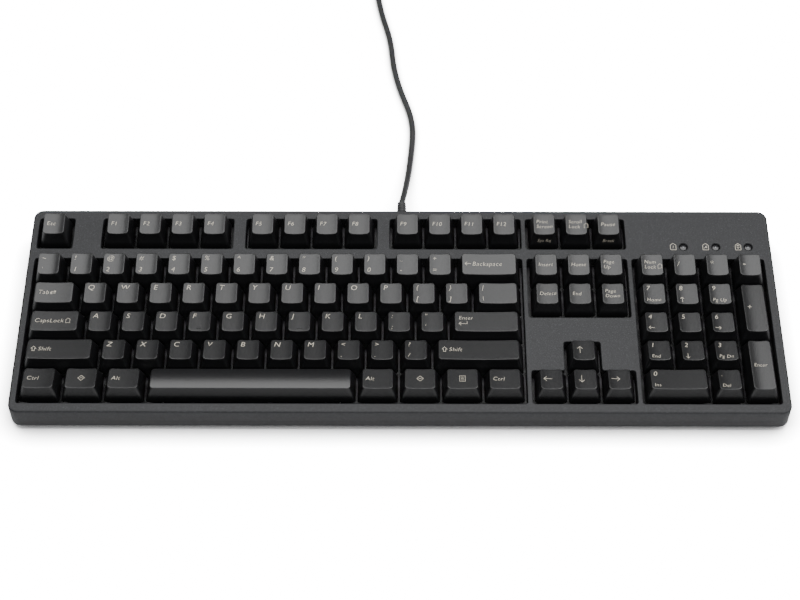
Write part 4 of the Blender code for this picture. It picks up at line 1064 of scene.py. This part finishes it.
def build_keys(node, legends):
    """All the caps of one CAD key node, with their prints, as one piece on that key's body."""
    (left, front, right, rear, skirt), (taper_x, taper_y, shift, height, rise) = cap_frame(node)
    step = (right - left + 2 * HALF_GAP) / len(legends)
    wide, deep = step - 2 * HALF_GAP, rear - front
    is_space = node == "key_space"
    dish = 0.0 if is_space else (0.95 * MM if wide < 20 * MM else 0.75 * MM)
    crown = 0.95 * MM if is_space else 0.0
    top = Top(wide / 2 - taper_x, deep / 2 - taper_y, shift, height + crown * 0.35, rise, dish, crown)
    patches = []
    for number, legend in enumerate(legends):
        middle = np.array((left + (number + 0.5) * step - HALF_GAP, (front + rear) / 2, skirt))
        own = cap_shell(wide, deep, taper_x, taper_y, shift, top)
        own += post(top.height - 2.0 * MM - abs(rise) * top.half_y, 4.6 * MM)
        if legend[0] == "homing":
            own.append(homing_bar(top))
        flat, faces = laid_out(legend, top.half_x, top.half_y)
        if faces:
            x, y = flat[:, 0], flat[:, 1] + shift
            own.append((np.stack((x, y, top.at(x, y) + PRINT_LIFT), -1), faces, 1, True))
        if (node, number) in FRONT_PRINTS:
            points, faces = front_lettering(FRONT_PRINTS[node, number], deep, taper_y, top)
            own.append((points, faces, 1, False))
        for points, own_faces, finish, smooth in own:
            placed = (np.asarray(points).reshape(-1, 3) + middle) @ DECK_AXES
            patches.append((placed, own_faces, finish, smooth))
    piece = piece_from(node.replace("key", "cap", 1), patches, [cap_plastic, legend_print])
    ride_in_place(piece, node, (node,))


for node_name, node_legends in LEGENDS.items():
    build_keys(node_name, node_legends)


# ---------------------------------------------------------------------------------------------
# Top cover: one moulded shell in charcoal plastic with a fine mineral sparkle. Its flat deck has
# an opening with walls round each block of keys, and three countersunk holes for the lights.
# ---------------------------------------------------------------------------------------------
cover_plastic, tree, shader = new_surface("sparkling_cover_plastic", (0.02, 0.02, 0.022), 0.58)
dents(tree, shader, speckle(tree, 2400.0, 3.0), 0.00003)
sparkle = ramp(tree, speckle(tree, 2300.0, 2.0), [
    (0.35, (0.006, 0.0063, 0.0074)), (0.56, (0.008, 0.0084, 0.0098)), (0.70, (0.040, 0.041, 0.046)),
])
shader.inputs["Specular IOR Level"].default_value = 0.42
tree.links.new(sparkle, shader.inputs["Base Color"])

cover_points = deck_points("top_cover")
DECK_H = cover_points[:, 2].max()
PLATE_H = deck_points("switch_plate")[:, 2].max()
cover_low, cover_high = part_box("top_cover")
WELL_SIDE = 1.5 * MM
WELL_FRONT = 1.8 * MM
WELL_RADIUS = 1.5 * MM
RIM_ROUND = 0.5 * MM
EDGE = 1.1 * MM
CASE_CORNER = 5.5 * MM
WALL_THICK = 1.6 * MM


def deck_height(y, h):
    """World height of the plane that lies h along the deck's normal, at world depth y."""
    return (h - y * DECK_NORMAL[1]) / DECK_NORMAL[2]


def well_rectangle(first, last):
    """Left, front, right and rear of the opening round a block of keys, from two of its key nodes."""
    points = np.vstack((deck_points(first), deck_points(last)))
    low, high = points.min(0), points.max(0)
    return low[0] - WELL_SIDE, low[1] - WELL_FRONT, high[0] + WELL_SIDE, high[1] + WELL_FRONT


def corners_of(left, front, right, rear):
    """Counter-clockwise corners of a rectangle."""
    return [(left, front), (right, front), (right, rear), (left, rear)]


def arrow_opening():
    """The opening of the arrow keys: a wide rectangle with a narrower one behind its middle."""
    left, front, right, rear = well_rectangle("key_arrow_left", "key_arrow_right")
    up_left, _, up_right, up_rear = well_rectangle("key_arrow_up", "key_arrow_up")
    return [(left, front), (right, front), (right, rear), (up_right, rear), (up_right, up_rear),
            (up_left, up_rear), (up_left, rear), (left, rear)]


openings = [corners_of(*well_rectangle(first, last)) for first, last in (
    ("key_escape", "key_escape"), ("keys_f1_to_f4", "keys_f1_to_f4"), ("keys_f5_to_f8", "keys_f5_to_f8"),
    ("keys_f9_to_f12", "keys_f9_to_f12"), ("keys_print_to_pause", "keys_print_to_pause"),
    ("key_backspace", "key_left_control"), ("keys_insert_to_page_up", "keys_delete_to_page_down"),
    ("keys_num_lock_to_minus", "key_num_0"),
)] + [arrow_opening()]


def carried(line, normals, profile):
    """A profile of (distance outwards, height) carried round a line: every point of the line is moved
    that far along its own outward direction and stands at that height."""
    profile = np.asarray(profile, float)
    flat = line[None] + profile[:, None, :1] * normals[None]
    return np.concatenate((flat, np.broadcast_to(profile[:, None, 1:], flat.shape[:2] + (1,))), -1)


def rim_profile(height):
    """From the foot of a well's wall up to the deck: a straight wall, a quarter circle, a flat edge."""
    turn = np.linspace(0, np.pi / 2, 6)
    foot = [(0.0, PLATE_H + 0.4 * MM), (0.0, height - RIM_ROUND - 0.4 * MM)]
    bend = [(RIM_ROUND * (1 - math.cos(t)), height - RIM_ROUND * (1 - math.sin(t))) for t in turn]
    return foot + bend + [(RIM_ROUND + 0.3 * MM, height)]


def light_hole(middle):
    """Rings of one countersunk hole, from inside it up to the deck."""
    profile = [(2.40, -2.0), (2.40, -0.55), (2.45, -0.42), (2.80, -0.08), (2.95, 0.0), (3.3, 0.0)]
    rings = turned_rings(np.array(profile) * MM, 32) + (middle[0], middle[1], DECK_H)
    return rings


lens_points = deck_points("indicator_light_guide")
lens_low, lens_high = lens_points.min(0), lens_points.max(0)
lens_p = (lens_low[1] + lens_high[1]) / 2
lens_inset = (lens_high[1] - lens_low[1]) / 2
LIGHTS = [(q, lens_p) for q in np.linspace(lens_low[0] + lens_inset, lens_high[0] - lens_inset, 3)]

shell_patches = []
loops = []
for corner_list in openings:
    line, normals = rounded_outline(corner_list, WELL_RADIUS, 6)
    wall = carried(line, normals, rim_profile(DECK_H))
    shell_patches.append((wall @ DECK_AXES, loop_grid(*wall.shape[:2])[:, ::-1], 0, True))
    loops.append(wall[-1])
for light in LIGHTS:
    hole = light_hole(light)
    shell_patches.append((hole @ DECK_AXES, loop_grid(*hole.shape[:2])[:, ::-1], 0, True))
    loops.append(hole[-1])

outer_corners = corners_of(cover_low.x, cover_low.y, cover_high.x, cover_high.y)
line, normals = rounded_outline(outer_corners, CASE_CORNER, 10)
turn = np.linspace(0, np.pi / 2, 8)
insets = np.concatenate(([0.25 * MM, 0, 0], EDGE * (1 - np.cos(turn)), [EDGE + 0.3 * MM]))
flat = line[None] - insets[:, None, None] * normals[None]
over = deck_height(flat[..., 1], DECK_H)
drops = EDGE * (1 - np.sin(turn))
heights = np.concatenate((
    np.full((1, len(line)), cover_low.z), np.full((1, len(line)), cover_low.z + 0.25 * MM),
    over[2:3] - 2 * EDGE, over[3:11] - drops[:, None], over[11:],
))
side = np.concatenate((flat, heights[..., None]), -1)
shell_patches.append((side, loop_grid(*side.shape[:2]), 0, True))

outer_loop = side[-1] @ DECK_AXES.T
polygons = [[Vector(p) for p in loop] for loop in [outer_loop] + [loop[::-1] for loop in loops]]
deck_vertices = np.array([p for polygon in polygons for p in polygon])
triangles = np.array(tessellate_polygon(polygons))
a, b, c = (deck_vertices[triangles[:, k]][:, :2] for k in range(3))
turned_down = (b[:, 0] - a[:, 0]) * (c[:, 1] - a[:, 1]) - (b[:, 1] - a[:, 1]) * (c[:, 0] - a[:, 0]) < 0
triangles[turned_down] = triangles[turned_down][:, ::-1]
shell_patches.append((deck_vertices @ DECK_AXES, triangles, 0, False))
cover = piece_from("cover_shell", shell_patches, [cover_plastic])
thickness = cover.modifiers.new("wall", "SOLIDIFY")
thickness.thickness = WALL_THICK
thickness.offset = -1.0
ride_in_place(cover, "case", ("top_cover",))


# ---------------------------------------------------------------------------------------------
# Indicator lights: three dark domed lenses on one moulded bar under the deck, each with a small chip in its middle
# that has a faint painted glow, and a printed tag beside it.
# ---------------------------------------------------------------------------------------------
lens_plastic, tree, shader = new_surface("smoked_lens_plastic", (0.012, 0.012, 0.013), 0.18)
dents(tree, shader, speckle(tree, 600.0), 0.00001)
# The chips carry a faint painted glow: a small pale emission, not a lamp.
chip_painted_glow, tree, shader = new_surface("pale_chip_painted_glow", (0.22, 0.23, 0.24), 0.3)
shader.inputs["Emission Color"].default_value = (0.85, 0.95, 1.0, 1.0)
shader.inputs["Emission Strength"].default_value = 0.02
tree.links.new(
    ramp(tree, speckle(tree, 1500.0), [(0.3, (0.20, 0.21, 0.22)), (0.7, (0.25, 0.26, 0.27))]),
    shader.inputs["Base Color"],
)
lens_top = lens_high[2]
lens_patches = []
for q, p in LIGHTS:
    dome = [(2.1, -2.2), (2.1, -0.25)] + [(r, 0.25 * ((1 - (r / 2.1) ** 2) - 1)) for r in (1.7, 1.2, 0.50)]
    rings = turned_rings(np.array(dome) * MM, 28) + (q, p, lens_top)
    lens_patches += [(rings @ DECK_AXES, loop_grid(*rings.shape[:2]), 0, True),
                     (rings[-1] @ DECK_AXES, [np.arange(28)], 0, True)]
    chip = turned_rings(np.array([(0.46, -0.1), (0.44, 0.05), (0.32, 0.14), (0.15, 0.18)]) * MM, 20)
    chip = chip + (q, p, lens_top)
    lens_patches += [(chip @ DECK_AXES, loop_grid(*chip.shape[:2]), 1, True),
                     (chip[-1] @ DECK_AXES, [np.arange(20)], 1, True)]
bar_low = np.array((lens_low[0], lens_low[1], lens_top - 3.9 * MM))
bar_high = np.array((lens_high[0], lens_high[1], lens_top - 1.8 * MM))
for points, faces, finish, smooth in cushion_block(bar_low, bar_high, 1.2 * MM, 0.3 * MM, 12, 2):
    lens_patches.append((np.asarray(points).reshape(-1, 3) @ DECK_AXES, faces, finish, smooth))
lenses = piece_from("indicator_lenses", lens_patches, [lens_plastic, chip_painted_glow], weld=None)
ride_in_place(lenses, "case", ("indicator_light_guide",))

TAG_SHIFT = -6.1 * MM
tag_patches = []
for (q, p), mark in zip(LIGHTS, ("1", "A", "updown")):
    shapes = [house(4.6 * MM, 0.24 * MM)]
    if mark == "updown":
        shapes += [pointer("up", 2.4 * MM, 0.22 * MM), pointer("down", 2.4 * MM, 0.22 * MM)]
    else:
        points, faces = lettering(mark, 2.1 * MM)
        middle = (points.min(0) + points.max(0)) / 2
        shapes.append((points - middle - (0, 0.3 * MM), faces))
    for points, faces in shapes:
        flat = np.column_stack((points + (q + TAG_SHIFT, p), np.full(len(points), DECK_H + PRINT_LIFT)))
        tag_patches.append((flat @ DECK_AXES, faces, 0, False))
tags = piece_from("indicator_tags", tag_patches, [legend_print], weld=None)
ride_in_place(tags, "case", ())
